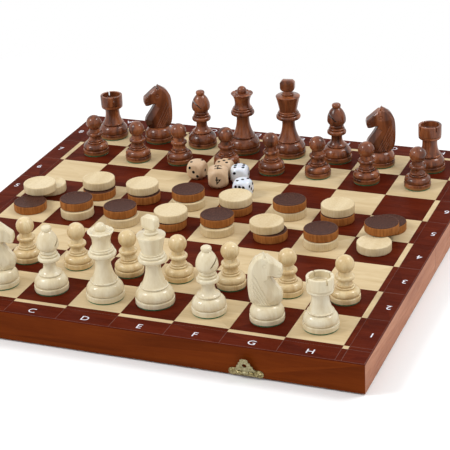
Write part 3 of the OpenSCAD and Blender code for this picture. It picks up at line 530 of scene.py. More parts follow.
for side, finish, slot in SIDES:
    spots = [place(file, PAWN_RANK[side], shift, file) for file, shift in enumerate(PAWN_SHIFTS[side])]
    coat = pawn_wood if side == "white" else finish
    set_out(side + "_pawns", pawn, spots, coat, side + "_men")

# ---------------------------------------------------------------- rooks
# A turned tower: foot, shoulder and stem as on the larger men, then a banded
# turret, bored out and sawn across twice to leave four merlons.

BACK_SHIFTS = {
    "white": [(0, 0), (0, -2), (-2, 0), (0, 0), (-3, 2), (-2, 0), (0, 0), (-2, 0)],
    "brown": [(-1, 0), (1, 2), (2, 0), (0, -1), (0, 0), (2, -1), (-1, -1), (0, 0)]}
BACK_RANK = {"white": 0, "brown": 7}
NECK_H = 3.6


def lower(r, bulge_h, shoulder_r, stem_r, stem_h):
    """Foot, shoulder bead and stem of king, queen, bishop and rook, with the height of its top."""
    shoulder_z = FELT + RING_H + bulge_h
    stem_z = shoulder_z + SHOULDER_H
    return (foot(r, bulge_h, shoulder_r - 0.8) + bead(shoulder_r, shoulder_z, SHOULDER_H, 0.6)
        + sweep((shoulder_r - 0.7, stem_z), (stem_r, stem_z + stem_h - NECK_H), "high", 16)
        + [(stem_r, stem_z + stem_h)]), stem_z + stem_h


def sawn(mesh, cutter):
    """The mesh with a cutter taken out of it."""
    piece = bpy.data.objects.new("blank", mesh)
    tool = bpy.data.objects.new("saw", cutter)
    for item in (piece, tool):
        bpy.context.scene.collection.objects.link(item)
    step = piece.modifiers.new("cut", "BOOLEAN")
    step.object = tool
    step.operation = "DIFFERENCE"
    step.solver = "EXACT"
    shape = bpy.data.meshes.new_from_object(piece.evaluated_get(bpy.context.evaluated_depsgraph_get()))
    bpy.data.objects.remove(piece)
    bpy.data.objects.remove(tool)
    return shape


def block(size, matrix):
    """A cutter: a rectangular block in millimetres, put in place by a matrix."""
    work = bmesh.new()
    bmesh.ops.create_cube(work, size=1.0, matrix=Matrix.Scale(MM, 4) @ matrix @ Matrix.Diagonal((*size, 1)))
    mesh = bpy.data.meshes.new("cutter")
    work.to_mesh(mesh)
    work.free()
    return mesh


def back_places(side, turns):
    """Places on a side's back rank for the files and turns (in degrees) given."""
    return [place(file, BACK_RANK[side], BACK_SHIFTS[side][file], math.radians(turn))
        for file, turn in turns.items()]


TURRET_R, TURRET_H, TURRET_WALL, TURRET_DEPTH = 9.1, 11.4, 2.0, 5.0
tower, turret_z = lower(12.1, 6.6, 9.0, 5.9, 12.6)
turret_top = turret_z + TURRET_H
band_r = TURRET_R - 0.2
bore_r = TURRET_R - TURRET_WALL
tower += (sweep((5.9, turret_z - 0.1), (band_r - 0.5, turret_z + 0.5), "low", 4)
    + [(band_r, turret_z + 1.1), (band_r, turret_z + 2.5), (band_r - 0.4, turret_z + 2.8),
        (band_r - 0.4, turret_z + 3.0), (TURRET_R, turret_z + 3.3)]
    + sweep((TURRET_R, turret_top - 0.4), (TURRET_R - 0.4, turret_top), "low", 3)
    + [(bore_r + 0.3, turret_top), (bore_r, turret_top - 0.3), (bore_r, turret_top - TURRET_DEPTH + 0.5),
        (bore_r - 0.5, turret_top - TURRET_DEPTH), (0, turret_top - TURRET_DEPTH - 0.2)])
rook = turned(tower)
SAW_W = 1
CUT_DEEP = 3.6
SAW_PAST = 2
for turn in (0, math.pi / 2):
    spot = (Matrix.Rotation(turn, 4, "Z")
        @ Matrix.Translation((0, 0, turret_top - CUT_DEEP / 2 + SAW_PAST / 2)))
    rook = sawn(rook, block((3 * TURRET_R, SAW_W, CUT_DEEP + SAW_PAST), spot))
for side, finish, slot in SIDES:
    set_out(side + "_rooks", rook, back_places(side, {0: 38, 7: 48}), finish, side + "_men")

# ---------------------------------------------------------------- bishops
# Foot and stem below, a double collar, a ring and an egg-shaped mitre with a button.
# One slanting saw cut is open at the side and ends near the mitre's middle.

COLLAR_T = 3.6
COLLAR_TOP_T = 2.2


def collar(r, z):
    """A thick ring under a thinner one, with the height of its top."""
    upper = z + COLLAR_T
    return (sweep((r - 1.6, z), (r, z + 1.5), "high", 6) + sweep((r, z + 2.0), (r - 1.7, upper), "low", 6)
        + bead(r - 1.2, upper + 0.05, COLLAR_TOP_T - 0.5, 0.75)), upper + COLLAR_TOP_T - 0.4


MITRE_R, MITRE_H, BUTTON_R = 7.6, 14.0, 3.6
RING_T = 2.6
bishop_outline, bishop_neck = lower(11.9, 7.2, 8.0, 4.4, 8.8)
bishop_collar, ring_z = collar(7.7, bishop_neck)
head_z = ring_z + RING_T
wide_z = head_z + MITRE_H * 0.27
mitre_top = head_z + MITRE_H
bishop_outline += (bishop_collar + sweep((4.9, ring_z), (5.7, ring_z + 1.2), "high", 4)
    + sweep((5.7, ring_z + 1.4), (5.1, head_z - 0.1), "low", 4)
    + sweep((5.35, head_z), (MITRE_R, wide_z), "high", 10)
    + sweep((MITRE_R, wide_z), (3.2, mitre_top - 0.1), "low", 16)
    + sweep((2.9, mitre_top + 0.1), (BUTTON_R, mitre_top + 1.4), "high", 5)
    + sweep((BUTTON_R, mitre_top + 1.9), (BUTTON_R - 1.4, mitre_top + 3.4), "low", 6)
    + [(1.2, mitre_top + 3.57), (0, mitre_top + 3.6)])
SAW_REACH = MITRE_R * 2.5
CUT_END = (1, 0, wide_z + 0.4)
slant = (Matrix.Translation(CUT_END) @ Matrix.Rotation(math.radians(-45), 4, "Y")
    @ Matrix.Translation((SAW_REACH / 2, 0, 0)))
bishop = sawn(turned(bishop_outline), block((SAW_REACH, 3 * MITRE_R, SAW_W), slant))
BISHOP_TURNS = {"white": {2: 60, 5: 31}, "brown": {2: 211, 5: 204}}
for side, finish, slot in SIDES:
    set_out(side + "_bishops", bishop, back_places(side, BISHOP_TURNS[side]), finish, side + "_men")

# ---------------------------------------------------------------- queens
# The queen's head is a waisted cup with a sharp rim, notched eight times and
# dished, with a small ball on a low dome in it.

QUEEN_RIM, QUEEN_H, QUEEN_FLARE = 9.0, 13.0, 2.8
NOTCHES, NOTCH_DEEP, NOTCH_SHARE = 8, 0.7, 0.17
queen_outline, queen_neck = lower(13.2, 7.4, 9.5, 5.2, 17.6)
queen_collar, head_z = collar(9.6, queen_neck)
waist_z = head_z + QUEEN_H * 0.37
waist_r = QUEEN_RIM - QUEEN_FLARE
rim_z = head_z + QUEEN_H
queen_outline += (queen_collar + bead(7.6, head_z, 1.1, 0.45)
    + sweep((waist_r + 0.6, head_z + 1.15), (waist_r, waist_z), "high", 8)
    + sweep((waist_r, waist_z), (QUEEN_RIM - 0.5, rim_z - 1.2), "low", 14)
    + [(QUEEN_RIM, rim_z - 0.65), (QUEEN_RIM - 0.05, rim_z - 0.5), (QUEEN_RIM - 0.5, rim_z - 0.05),
        (QUEEN_RIM - 0.8, rim_z), (QUEEN_RIM - 1.5, rim_z - 0.4), (QUEEN_RIM - 2.1, rim_z - 0.85),
        (5.6, rim_z - 0.88), (5.35, rim_z - 0.5), (5.15, rim_z - 0.08), (4.8, rim_z), (3.9, rim_z + 0.02)]
    + ball(3.9, rim_z + 1.6, 3.62, 16))


def notched(angle, r, z):
    """Height of a point of the queen's head, lowered where a notch is filed into the rim."""
    if z < rim_z - 1 or r < QUEEN_RIM - 2:
        return z
    near = abs((angle * NOTCHES / math.tau) % 1 - 0.5)
    return z - NOTCH_DEEP * max(0.0, 1 - near / NOTCH_SHARE)


queen = turned(queen_outline, notched)
for side, finish, slot in SIDES:
    set_out(side + "_queen", queen, back_places(side, {3: 0}), finish, side + "_men", 50)

# ---------------------------------------------------------------- kings
# The king's crown is a plain flaring drum with a flat top. A separate block of
# the same wood, flat with cut corners, is glued on a round neck as its finial.

CROWN_R, CROWN_H, CROWN_TAPER, DOME_H = 9.8, 14.0, 2.9, 2.4
king_outline, king_neck = lower(13.4, 7.4, 9.6, 5.2, 17.4)
king_collar, head_z = collar(9.9, king_neck)
crown_z = head_z + CROWN_H
king_outline += (king_collar + bead(7.8, head_z, 1.1, 0.45)
    + [(CROWN_R - CROWN_TAPER + 0.1, head_z + 1.2), (CROWN_R - 2.1, head_z + 5),
        (CROWN_R - 1.3, head_z + 8.5), (CROWN_R - 0.55, crown_z - 2.4), (CROWN_R - 0.02, crown_z - 0.7),
        (CROWN_R - 0.05, crown_z - 0.35), (CROWN_R - 0.45, crown_z), (5.4, crown_z + 0.45),
        (4.6, crown_z + 0.65)]
    + sweep((4.4, crown_z + 0.7), (5, crown_z + 1.4), "high", 4)
    + sweep((5, crown_z + 1.6), (4.3, crown_z + DOME_H), "low", 4) + [(0, crown_z + DOME_H)])
king = turned(king_outline)
for side, finish, slot in SIDES:
    set_out(side + "_king", king, back_places(side, {4: 0}), finish, side + "_men")

FINIAL_W, FINIAL_H, FINIAL_T, FINIAL_CORNER, FINIAL_NECK = 11.6, 9.0, 6.0, 1.8, 1.6
FINIAL_EASE, NECK_IN = 0.7, 0.1
finial_work = bmesh.new()
half_w = FINIAL_W / 2
edge = half_w - FINIAL_CORNER
low = crown_z + DOME_H + FINIAL_NECK
high = low + FINIAL_H
profile = [(-edge, low), (edge, low), (half_w, low + FINIAL_CORNER), (half_w, high - FINIAL_CORNER),
    (edge, high), (-edge, high), (-half_w, high - FINIAL_CORNER), (-half_w, low + FINIAL_CORNER)]
sheet = finial_work.faces.new(
    [finial_work.verts.new((x * MM, -FINIAL_T / 2 * MM, z * MM)) for x, z in profile])
grown = bmesh.ops.extrude_face_region(finial_work, geom=[sheet])["geom"]
bmesh.ops.translate(finial_work, vec=(0, FINIAL_T * MM, 0),
    verts=[item for item in grown if isinstance(item, bmesh.types.BMVert)])
bmesh.ops.recalc_face_normals(finial_work, faces=finial_work.faces)
bmesh.ops.bevel(finial_work, geom=finial_work.edges[:], offset=FINIAL_EASE * MM, segments=3, profile=0.5,
    affect="EDGES")
bmesh.ops.create_cone(finial_work, cap_ends=True, segments=48, radius1=3.9 * MM, radius2=3.6 * MM,
    depth=(FINIAL_NECK + NECK_IN) * MM,
    matrix=Matrix.Translation((0, 0, (low + (NECK_IN - FINIAL_NECK) / 2) * MM)))
finial = bpy.data.meshes.new("finial")
finial_work.to_mesh(finial)
finial_work.free()
for side, finish, slot, turn in ((*SIDES[0], -15), (*SIDES[1], 8)):
    set_out(side + "_king_finial", finial, back_places(side, {4: turn}), finish, side + "_men")

# ---------------------------------------------------------------- knights
# A turned foot with a horse's head glued on it, sawn from flat stock and
# carved: eased edges, a planed muzzle, a ringed eye and a hatched mane.

KNIGHT_T = 10.0
KNIGHT_FOOT, KNIGHT_BULGE, KNIGHT_SHOULDER = 11.7, 7.0, 8.6
NECK_Z = FELT + RING_H + KNIGHT_BULGE
knight_foot = turned(foot(KNIGHT_FOOT, KNIGHT_BULGE, KNIGHT_SHOULDER - 0.2)
    + [(KNIGHT_SHOULDER - 0.6, NECK_Z), (0, NECK_Z)])
# outline from the foot's front, round the chest, muzzle, ear and mane: x, height over the
# foot, and 1 where the corner stays sharp
HORSE = [(6.6, 0, 1), (9.4, 1.4, 0), (10.8, 4, 0), (10.9, 7.6, 0), (9.9, 10, 0), (7.7, 12.9, 0),
    (5.5, 15.9, 0), (3, 19.8, 0), (2.7, 21, 1), (4.8, 21.2, 0), (6.5, 20.4, 0), (9.8, 20.1, 0),
    (10.9, 21.2, 0), (11.3, 23.6, 0), (11.1, 26, 0), (10.2, 27.4, 0), (8.5, 28.6, 0), (4.6, 31.8, 0),
    (1.5, 34.2, 0), (0.2, 35.2, 1), (-1.2, 37, 1), (-2, 36, 1), (-3.6, 35.3, 0), (-6.7, 33.1, 0),
    (-8.3, 31.4, 0), (-9.4, 29.6, 0), (-10.5, 27.4, 0), (-11.2, 25, 0), (-11.7, 20.6, 0),
    (-11.8, 13, 0), (-11.5, 6.6, 0), (-10.4, 2.2, 0), (-8, 0, 1)]


def eased_loop(points, rounds=2):
    """Cuts the corners of a closed loop, except those that stay sharp."""
    for _ in range(rounds):
        loop = []
        for k, (x, z, sharp) in enumerate(points):
            (px, pz, _), (nx, nz, _) = points[k - 1], points[(k + 1) % len(points)]
            if sharp:
                loop.append((x, z, 1))
                continue
            for to_x, to_z in ((px, pz), (nx, nz)):
                loop.append((x * 0.75 + to_x * 0.25, z * 0.75 + to_z * 0.25, 0))
        points = loop
    return [Vector((x, z)) for x, z, _ in points]


def gap_to(point, start, end):
    """Distance from a point to a straight line between two others."""
    way = end - start
    share = max(0.0, min(1.0, (point - start).dot(way) / way.length_squared))
    return (point - start - way * share).length


def groove(point, start, end, width):
    """1 in the middle of a straight groove, falling to 0 at its edges."""
    return max(0.0, 1 - gap_to(point, Vector(start), Vector(end)) / width)


# heights over the foot where the bevel changes: over the chest, over the chin, at the bridge
# of the nose and at the ear
CHEST_Z, CHIN_Z, BRIDGE_Z, EAR_Z = 20, 21.6, 26.5, 34
# the head thins out above THIN_Z, and its muzzle is planed in front of a line that leans
# forward through the cheek
THIN_Z, THIN_RATE = 26, 0.05
MUZZLE_Z, PLANED, PLANE_W = 19, 0.9, 1.6
CHEEK_X, CHEEK_Z, CHEEK_LEAN = 3.2, 24, 0.1
EYE, EYE_R, EYE_DEEP, EYE_LINE = Vector((0.3, 28.4)), 1.2, 0.32, 0.55
NOSTRIL, NOSTRIL_R, NOSTRIL_DEEP = Vector((9.3, 25.2)), 0.7, 0.4
MANE = [((-9.2 - 0.3 * k, 16.5 - 2.7 * k), (-0.2 - 1.7 * k, 0.4)) for k in range(4)]
MANE += [((-7, 22), (3.4, 0.3)), ((-8.3, 19), (1.6, 0.3))]
EAR_FOLD = ((-0.4, 35.4), (2.4, 31.2))
MOUTH = ((11, 22.4), (8, 22.9))
# lines cut into each side, each with its depth and half its width; no cut goes below
# DEEPEST, or comes nearer to the outline than PLAIN_RIM
CUTS = [(line, 0.5, 0.5) for line in MANE] + [(EAR_FOLD, 0.5, 0.55), (MOUTH, 0.4, 0.45)]
DEEPEST = 0.6
PLAIN_RIM = 0.3


def bevel_at(x, z):
    """How far in the carved bevel runs from a point of the outline, and half the edge it leaves."""
    if z > EAR_Z and x < 0.6:
        return 1.8, 1.2
    if x < 0:
        return 4.6 - 0.07 * z, 2.5
    if z < CHEST_Z:
        return 4.4, 2.3
    if z < CHIN_Z:
        return 1.2, 3.2
    return (1.5, 3.4) if z > BRIDGE_Z else (1.2, 3)


def side_at(x, z):
    """Half the head's thickness before the bevels: thinner towards the ear, planed at the muzzle."""
    half = KNIGHT_T / 2 - THIN_RATE * max(0.0, z - THIN_Z)
    if z > MUZZLE_Z:
        past_cheek = x - CHEEK_X - CHEEK_LEAN * (z - CHEEK_Z)
        half -= PLANED * max(0.0, min(1.0, past_cheek / PLANE_W))
    return half


def depth_at(point, rim, edge_point):
    """Half the head's thickness at a point of its side, with bevels and carving."""
    width, edge = bevel_at(*edge_point)
    half = min(side_at(*point), edge + (KNIGHT_T / 2 - edge) * rim / width)
    if rim < PLAIN_RIM:
        return min(half, edge)
    carving = sum(deep * groove(point, *line, half_w) for line, deep, half_w in CUTS)
    carving += EYE_DEEP * max(0.0, 1 - abs((point - EYE).length - EYE_R) / EYE_LINE)
    carving += NOSTRIL_DEEP * max(0.0, 1 - (point - NOSTRIL).length / NOSTRIL_R)
    return half - min(DEEPEST, carving)


HEAD_BACK, HEAD_FRONT, HEAD_TOP = -12, 11.5, 37.2
GRID, ONLY_INSIDE, MERGE = 0.34, 1, 0.0001


def within(spot, loop):
    """Whether a point lies inside a closed loop."""
    crossings = 0
    for a, b in zip(loop[-1:] + loop, loop):
        if (a.y > spot.y) != (b.y > spot.y):
            crossings += spot.x < a.x + (spot.y - a.y) / (b.y - a.y) * (b.x - a.x)
    return crossings % 2 == 1


def horse_head():
    """The head's two sides on one fine net of points, joined round its outline."""
    loop = eased_loop(HORSE)
    inside = []
    for column in range(int(HEAD_BACK / GRID), int(HEAD_FRONT / GRID)):
        for row in range(int(HEAD_TOP / GRID)):
            spot = Vector(((column + 0.5 * (row % 2)) * GRID, row * GRID))
            nearest = min(gap_to(spot, loop[k - 1], loop[k]) for k in range(len(loop)))
            if nearest > GRID * 0.6 and within(spot, loop):
                inside.append(spot)
    flat = loop + inside
    halves_at = []
    for spot in flat:
        # from 1 on, because the flat bottom that is glued to the foot has no bevel
        rim, k = min((gap_to(spot, loop[k - 1], loop[k]), k) for k in range(1, len(loop)))
        halves_at.append(depth_at(spot, rim, (loop[k - 1] + loop[k]) / 2))
    outline = list(range(len(loop)))
    spots, _, triangles, sources, _, _ = delaunay_2d_cdt(flat, [], [outline], ONLY_INSIDE, MERGE)
    work = bmesh.new()
    halves = []
    for side in (-1, 1):
        halves.append([work.verts.new((spot.x * MM, side * halves_at[ids[0]] * MM, (spot.y + NECK_Z) * MM))
            for spot, ids in zip(spots, sources)])
    for triangle in triangles:
        work.faces.new([halves[0][k] for k in triangle])
        work.faces.new([halves[1][k] for k in reversed(triangle)])
    outer = [next(k for k, ids in enumerate(sources) if n in ids) for n in range(len(loop))]
    for k in range(len(outer)):
        a, b = outer[k - 1], outer[k]
        work.faces.new((halves[0][a], halves[0][b], halves[1][b], halves[1][a]))
    bmesh.ops.recalc_face_normals(work, faces=work.faces)
    mesh = bpy.data.meshes.new("horse head")
    work.to_mesh(mesh)
    work.free()
    return mesh


head = horse_head()
KNIGHT_TURNS = {"white": {1: 17, 6: 12}, "brown": {1: 215, 6: 205}}
for side, finish, slot in SIDES:
    spots = back_places(side, KNIGHT_TURNS[side])
    set_out(side + "_knight_bases", knight_foot, spots, finish, side + "_men")
    set_out(side + "_knight_heads", head, spots, finish, side + "_men", 32)

# ---------------------------------------------------------------- draughts
# Thirty turned discs with softly dished faces. Fifteen are pale maple; the
# others are stained, darker on the open end grain of their faces.

DRAUGHT_R, DRAUGHT_T = 12.5, 6.5
draught = turned(
    [(0, 0.45), (8.5, 0.4), (9.9, 0.18), (10.9, 0.0), (11.6, 0.0)]
    + sweep((11.7, 0.02), (DRAUGHT_R, 0.8), "high", 5)
    + sweep((DRAUGHT_R, DRAUGHT_T - 0.8), (11.7, DRAUGHT_T - 0.02), "low", 5)
    + [(11.3, DRAUGHT_T), (10.8, DRAUGHT_T - 0.06), (9.9, DRAUGHT_T - 0.22), (8.5, DRAUGHT_T - 0.4),
        (0, DRAUGHT_T - 0.45)])
# where each lies: file, rank, how many lie under it, and how far off the middle
LIGHT_SET = [(1, 3, 0, 0, 1), (2, 3, 0, 0, -2), (3, 3, 1, -1, 2), (4, 3, 0, -3, 1), (5, 3, 1, -4, 3),
    (6, 3, 0, -1, 0), (7, 3, 0, -1, 3), (0, 3.5, 1, -3, 3), (0, 4, 0, -2, -2), (1, 4, 1, -1, 4),
    (2, 4, 1, -3, 4), (3, 4, 0, -2, 0), (4, 4, 1, -3, 1), (5, 4, 0, 0, 4), (6, 4, 1, -2, 6)]
DARK_SET = [(0, 3, 0, -1, 1), (1, 3, 1, -1, 3), (2, 3, 1, -2, -1), (3, 3, 0, -2, 1), (4, 3, 1, -4, 4),
    (5, 3, 0, -1, 2), (6, 3, 1, -1, 1), (7, 3.5, 1, -1, 3), (1, 4, 0, 1, 0), (2, 4, 0, -1, 2),
    (3, 4, 1, -3, 2), (4, 4, 0, -3, 0), (5, 4, 1, 0, 4), (6, 4, 0, -2, 5), (7, 4, 0, 0, 0)]


SIDE_UP, FACE_UP = 0.55, 0.9


def facing_up(finish):
    """How far the surface faces up or down: 0 on a draught's side, 1 on its faces."""
    parts = finish.node("SeparateXYZ")
    finish.join(finish.node("TexCoord").outputs["Normal"], parts.inputs[0])
    size = finish.node("Math", operation="ABSOLUTE")
    finish.join(parts.outputs["Z"], size.inputs[0])
    spread = finish.node("MapRange")
    finish.join(size.outputs[0], spread.inputs["Value"])
    spread.inputs["From Min"].default_value = SIDE_UP
    spread.inputs["From Max"].default_value = FACE_UP
    return spread.outputs[0]


pale = Finish("pale draught wood")
grain = pale.noise(pale.place(GRAIN_Y), 60, 3, 0.6, 0.6)
fibres = pale.noise(pale.place(GRAIN_Z), 900, 3)
cream = pale.ramp(grain, [(0.3, srgb(204, 182, 142)), (0.5, srgb(214, 195, 157)), (0.7, srgb(222, 205, 170))])
side_lines = pale.ramp(fibres, [(0.35, (0.9, 0.87, 0.8, 1)), (0.6, WHITE)])
pale.join(pale.mix(1.0, cream, side_lines, "MULTIPLY"), pale.shader.inputs["Base Color"])
pale.set(Roughness=0.38, Specular_IOR_Level=0.2)
pale.bump(fibres, 0.05, SKIN)

stained = Finish("stained draught wood")
fibres = stained.noise(stained.place(GRAIN_Z), 700, 4)
speckle = stained.noise(stained.place(), 1500, 2)
sides = stained.ramp(fibres, [(0.3, srgb(132, 80, 40)), (0.5, srgb(156, 98, 50)), (0.7, srgb(172, 112, 60))])
faces = stained.ramp(speckle, [(0.36, srgb(48, 26, 20)), (0.54, srgb(72, 43, 34)), (0.7, srgb(98, 62, 48))])
stained.join(stained.mix(facing_up(stained), sides, faces), stained.shader.inputs["Base Color"])
stained.set(Roughness=0.42, Specular_IOR_Level=0.06)
stained.bump(speckle, 0.12, SKIN)

for node, finish, slot, layout in (("light_draughts", pale, "light_draught", LIGHT_SET),
        ("dark_draughts", stained, "dark_draught", DARK_SET)):
    spots = [Matrix.Translation((0, 0, level * DRAUGHT_T * MM))
        @ place(file, rank, (dx, dy), file * 1.7 + rank) for file, rank, level, dx, dy in layout]
    set_out(node, draught, spots, finish, "draughts")

# ---------------------------------------------------------------- dice
# Two dice and a doubling cube of pale wood, and two white plastic dice: cubes
# tumbled almost round, with drilled and blackened pips or printed numbers.

DIE, CUBE, DIE_ROUND = 13.8, 15.6, 1.26
TUMBLED = 34
DIE_CUTS = 23
PIP_R, PIP_SIDES, PIP_SPREAD = 1.3, 18, 0.235
PAINT_OUT = 0.06
PIP_RINGS = [(0, PAINT_OUT), (PIP_R * 0.5, PAINT_OUT), (PIP_R * 0.92, PAINT_OUT), (PIP_R, -PAINT_OUT)]
PIP_SPOTS = {1: [(0, 0)], 2: [(-1, -1), (1, 1)], 3: [(-1, -1), (0, 0), (1, 1)],
    4: [(-1, -1), (-1, 1), (1, -1), (1, 1)], 5: [(-1, -1), (-1, 1), (1, -1), (1, 1), (0, 0)],
    6: [(-1, -1), (-1, 0), (-1, 1), (1, -1), (1, 0), (1, 1)]}


def skin_at(way, edge):
    """How far a die's skin is from its middle: a flat cube that runs over into a ball."""
    to_cube = edge / 2 / max(abs(way.x), abs(way.y), abs(way.z))
    ball_r = DIE_ROUND * edge / 2
    return (to_cube ** -TUMBLED + ball_r ** -TUMBLED) ** (-1 / TUMBLED)


def tumbled(edge, work):
    """A cube whose corners are rounded off, as dice are tumbled."""
    bmesh.ops.create_cube(work, size=2.0)
    bmesh.ops.subdivide_edges(work, edges=work.edges[:], cuts=DIE_CUTS, use_grid_fill=True)
    for vert in work.verts:
        way = vert.co.normalized()
        vert.co = way * skin_at(way, edge) * MM


def face_frame(normal, upward):
    """Turns a face's own flat axes so that Z looks out of the die and Y along upward."""
    out, up = Vector(normal), Vector(upward)
    return Matrix((up.cross(out), up, out)).transposed().to_4x4()


def die_surface(edge, x, y, lift):
    """The point of a rounded die's top face over a point of the flat cube's face."""
    way = Vector((x, y, edge / 2)).normalized()
    return way * (skin_at(way, edge) + lift)


def pips(work, edge, faces):
    """Round black pips that follow the curve of the die's skin, their rims sunk into it."""
    spread = edge * PIP_SPREAD
    for normal, upward, count in faces:
        turn = Matrix.Scale(MM, 4) @ face_frame(normal, upward)
        for px, py in PIP_SPOTS[count]:
            loops = []
            for r, lift in PIP_RINGS:
                loop = []
                for k in range(PIP_SIDES if r else 1):
                    angle = math.tau * k / PIP_SIDES
                    x = px * spread + r * math.cos(angle)
                    y = py * spread + r * math.sin(angle)
                    loop.append(work.verts.new(turn @ die_surface(edge, x, y, lift)))
                loops.append(loop)
            for inner, outer in zip(loops, loops[1:]):
                for k in range(PIP_SIDES):
                    n = (k + 1) % PIP_SIDES
                    corners = (inner[k % len(inner)], outer[k], outer[n], inner[n % len(inner)])
                    work.faces.new(list(dict.fromkeys(corners)))


X, Y, Z = Vector((1, 0, 0)), Vector((0, 1, 0)), Vector((0, 0, 1))
dice_wood = wood("dice wood", GRAIN_Z, srgb(214, 186, 154), srgb(204, 174, 142), srgb(190, 158, 124),
    0.36, 0.3, 0.08)
plastic = Finish("white dice plastic")
cloud = plastic.noise(plastic.place(), 120, 3)
plastic.join(plastic.ramp(cloud, [(0.3, srgb(212, 218, 229)), (0.7, srgb(222, 227, 236))]),
    plastic.shader.inputs["Base Color"])
plastic.set(Roughness=0.22, Specular_IOR_Level=0.5, Subsurface_Weight=0.1, Subsurface_Scale=0.002)
black = Finish("black pip paint")
dust = black.noise(black.place(), 900, 3)
black.join(black.ramp(dust, [(0.3, srgb(16, 14, 16)), (0.7, srgb(34, 30, 32))]),
    black.shader.inputs["Base Color"])
black.set(Roughness=0.7, Specular_IOR_Level=0.03)


def cast_dice(node, finish, throws):
    """Dice where they fell, and the paint of their pips or numbers as a piece of its own."""
    bodies = bmesh.new()
    marks = bmesh.new()
    for edge, file, rank, shift, turn, faces, numbers in throws:
        spot = place(file, rank, shift, math.radians(turn)) @ Matrix.Translation((0, 0, edge / 2 * MM))
        die = bmesh.new()
        tumbled(edge, die)
        painted = bmesh.new()
        pips(painted, edge, faces)
        for text, normal, upward, height in numbers:
            face = face_frame(normal, upward) @ Matrix.Translation((0, 0, edge / 2))
            lettering(painted, text, face, height, 0.0, PAINT_OUT)
        for one, whole in ((die, bodies), (painted, marks)):
            bmesh.ops.transform(one, matrix=spot, verts=one.verts)
            scratch = bpy.data.meshes.new("die")
            one.to_mesh(scratch)
            one.free()
            whole.from_mesh(scratch)
            bpy.data.meshes.remove(scratch)
    add_piece("made_" + node, bodies, finish, "dice", node, 60)
    add_piece(node + "_marks", marks, black, "dice", smooth=40)


# each die: its edge, square, shift and turn, then the way each face looks, the way its marks
# stand, and the pips or the number on it
cast_dice("wooden_dice", dice_wood, [
    (DIE, 3, 5, (-16.5, 14.3), -4,
        [(Z, Y, 2), (-Y, X, 3), (X, Z, 1), (-X, Z, 6), (Y, Z, 4), (-Z, Y, 5)], []),
    (DIE, 3, 5, (4.6, 20.9), 3,
        [(Z, Y, 5), (-Y, Z, 4), (X, Z, 1), (-X, Z, 6), (Y, Z, 3), (-Z, Y, 2)], [])])
cast_dice("doubling_cube", dice_wood, [
    (CUBE, 3, 5, (6.4, 2.4), 20, [],
        [("64", Z, X, 6.2), ("4", -Y, -Z, 6.6), ("8", X, Z, 6.2), ("16", -X, Z, 5.4), ("2", Y, Z, 6.2),
        ("32", -Z, Y, 5.4)])])
cast_dice("white_dice", plastic, [
    (DIE, 4, 5, (-19.4, 13.9), 12,
        [(Z, Y, 6), (-Y, X, 2), (X, Z, 3), (-X, Z, 4), (Y, Z, 5), (-Z, Y, 1)], []),
    (DIE, 4, 5, (-7.2, -11.7), -2,
        [(Z, Y, 3), (-Y, X, 6), (X, Z, 5), (-X, Z, 2), (Y, Z, 1), (-Z, Y, 4)], [])])

# ---------------------------------------------------------------- studio
# A white table that the box rests on with the barrels of its hinges, white all
# round, a large soft box at the left front and one at the right behind, and a
# camera where the photograph's stood.

TABLE_Z = -1.2 * MM
TABLE_HALF = 6
table_work = bmesh.new()
bmesh.ops.create_grid(table_work, x_segments=1, y_segments=1, size=TABLE_HALF)
bmesh.ops.translate(table_work, verts=table_work.verts, vec=(0, 0, TABLE_Z))
table_mesh = bpy.data.meshes.new("table")
table_work.to_mesh(table_mesh)
table_work.free()
table = bpy.data.objects.new("table", table_mesh)
bpy.context.scene.collection.objects.link(table)
SHADOW_NEAR, SHADOW_FAR = 0.2, 0.36


def seen_directly(tree):
    """1 for what the camera sees itself, in a mirror or through glass, and 0 for light."""
    ways = tree.nodes.new("ShaderNodeLightPath")
    total = ways.outputs["Is Camera Ray"]
    for name in ("Is Glossy Ray", "Is Transmission Ray"):
        added = tree.nodes.new("ShaderNodeMath")
        tree.links.new(total, added.inputs[0])
        tree.links.new(ways.outputs[name], added.inputs[1])
        total = added.outputs[0]
    return total


# near the box the table keeps the shadow, and further off it runs into the white behind it
table_white = Finish("white table")
table_white.set(Base_Color=srgb(250, 250, 250), Roughness=0.9, Specular_IOR_Level=0.2)
parts = table_white.node("SeparateXYZ")
table_white.join(table_white.node("NewGeometry").outputs["Position"], parts.inputs[0])
reach = table_white.node("Math", operation="MAXIMUM")
for axis, socket in (("X", 0), ("Y", 1)):
    away = table_white.node("Math", operation="ABSOLUTE")
    table_white.join(parts.outputs[axis], away.inputs[0])
    table_white.join(away.outputs[0], reach.inputs[socket])
fade = table_white.node("MapRange")
table_white.join(reach.outputs[0], fade.inputs["Value"])
fade.inputs["From Min"].default_value = SHADOW_NEAR
fade.inputs["From Max"].default_value = SHADOW_FAR
share = table_white.node("Math", operation="MULTIPLY")
table_white.join(fade.outputs[0], share.inputs[0])
table_white.join(seen_directly(table_white.tree), share.inputs[1])
blend = table_white.node("MixShader")
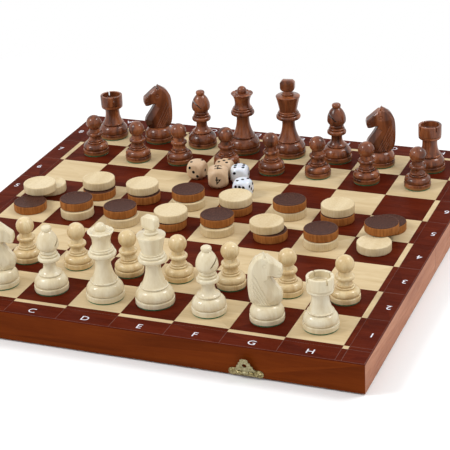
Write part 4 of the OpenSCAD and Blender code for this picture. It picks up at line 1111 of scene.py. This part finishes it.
for made, socket in ((share.outputs[0], 0), (table_white.shader.outputs[0], 1),
        (table_white.node("Emission").outputs[0], 2)):
    table_white.join(made, blend.inputs[socket])
table_white.join(blend.outputs[0], table_white.tree.nodes["Material Output"].inputs["Surface"])
table_mesh.materials.append(table_white.material)

AMBIENT = 0.75
world = bpy.data.worlds.new("studio")
bpy.context.scene.world = world
world.use_nodes = True
sky = world.node_tree.nodes["Background"]
sky.inputs["Color"].default_value = WHITE
level = world.node_tree.nodes.new("ShaderNodeMapRange")
level.inputs["To Min"].default_value = AMBIENT
world.node_tree.links.new(seen_directly(world.node_tree), level.inputs["Value"])
world.node_tree.links.new(level.outputs[0], sky.inputs["Strength"])


LAMP_W = 0.5
LAMP_AIM = Vector((0, 0, 0.03))


def soft_box(name, stand, power):
    """A square lamp on a stand, turned towards the men."""
    lamp = bpy.data.lights.new(name, "AREA")
    lamp.shape = "SQUARE"
    lamp.size = LAMP_W
    lamp.energy = power
    holder = bpy.data.objects.new(name, lamp)
    holder.location = stand
    holder.rotation_euler = (LAMP_AIM - Vector(stand)).to_track_quat("-Z", "Y").to_euler()
    bpy.context.scene.collection.objects.link(holder)


soft_box("left soft box", (-1.0, -0.7, 1.2), 11.5)
soft_box("right soft box", (0.9, 0.4, 1.3), 9)

CAMERA_PLACE = Vector((0.4279, -1.0145, 0.52505))
HEADING = math.radians(22.14)
DIP = math.radians(24.849)
ROLL = math.radians(-2.819)
ahead = Vector((-math.sin(HEADING) * math.cos(DIP), math.cos(HEADING) * math.cos(DIP), -math.sin(DIP)))
right = ahead.cross(Z).normalized()
above = right.cross(ahead)
turned_right = math.cos(ROLL) * right + math.sin(ROLL) * above
turned_above = math.cos(ROLL) * above - math.sin(ROLL) * right
camera_data = bpy.data.cameras.new("camera")
camera_data.lens = 130
camera_data.sensor_width = 36
camera = bpy.data.objects.new("camera", camera_data)
camera.matrix_world = (Matrix.Translation(CAMERA_PLACE)
    @ Matrix((turned_right, turned_above, -ahead)).transposed().to_4x4())
bpy.context.scene.collection.objects.link(camera)
bpy.context.scene.camera = camera
bpy.context.scene.view_settings.view_transform = "Standard"
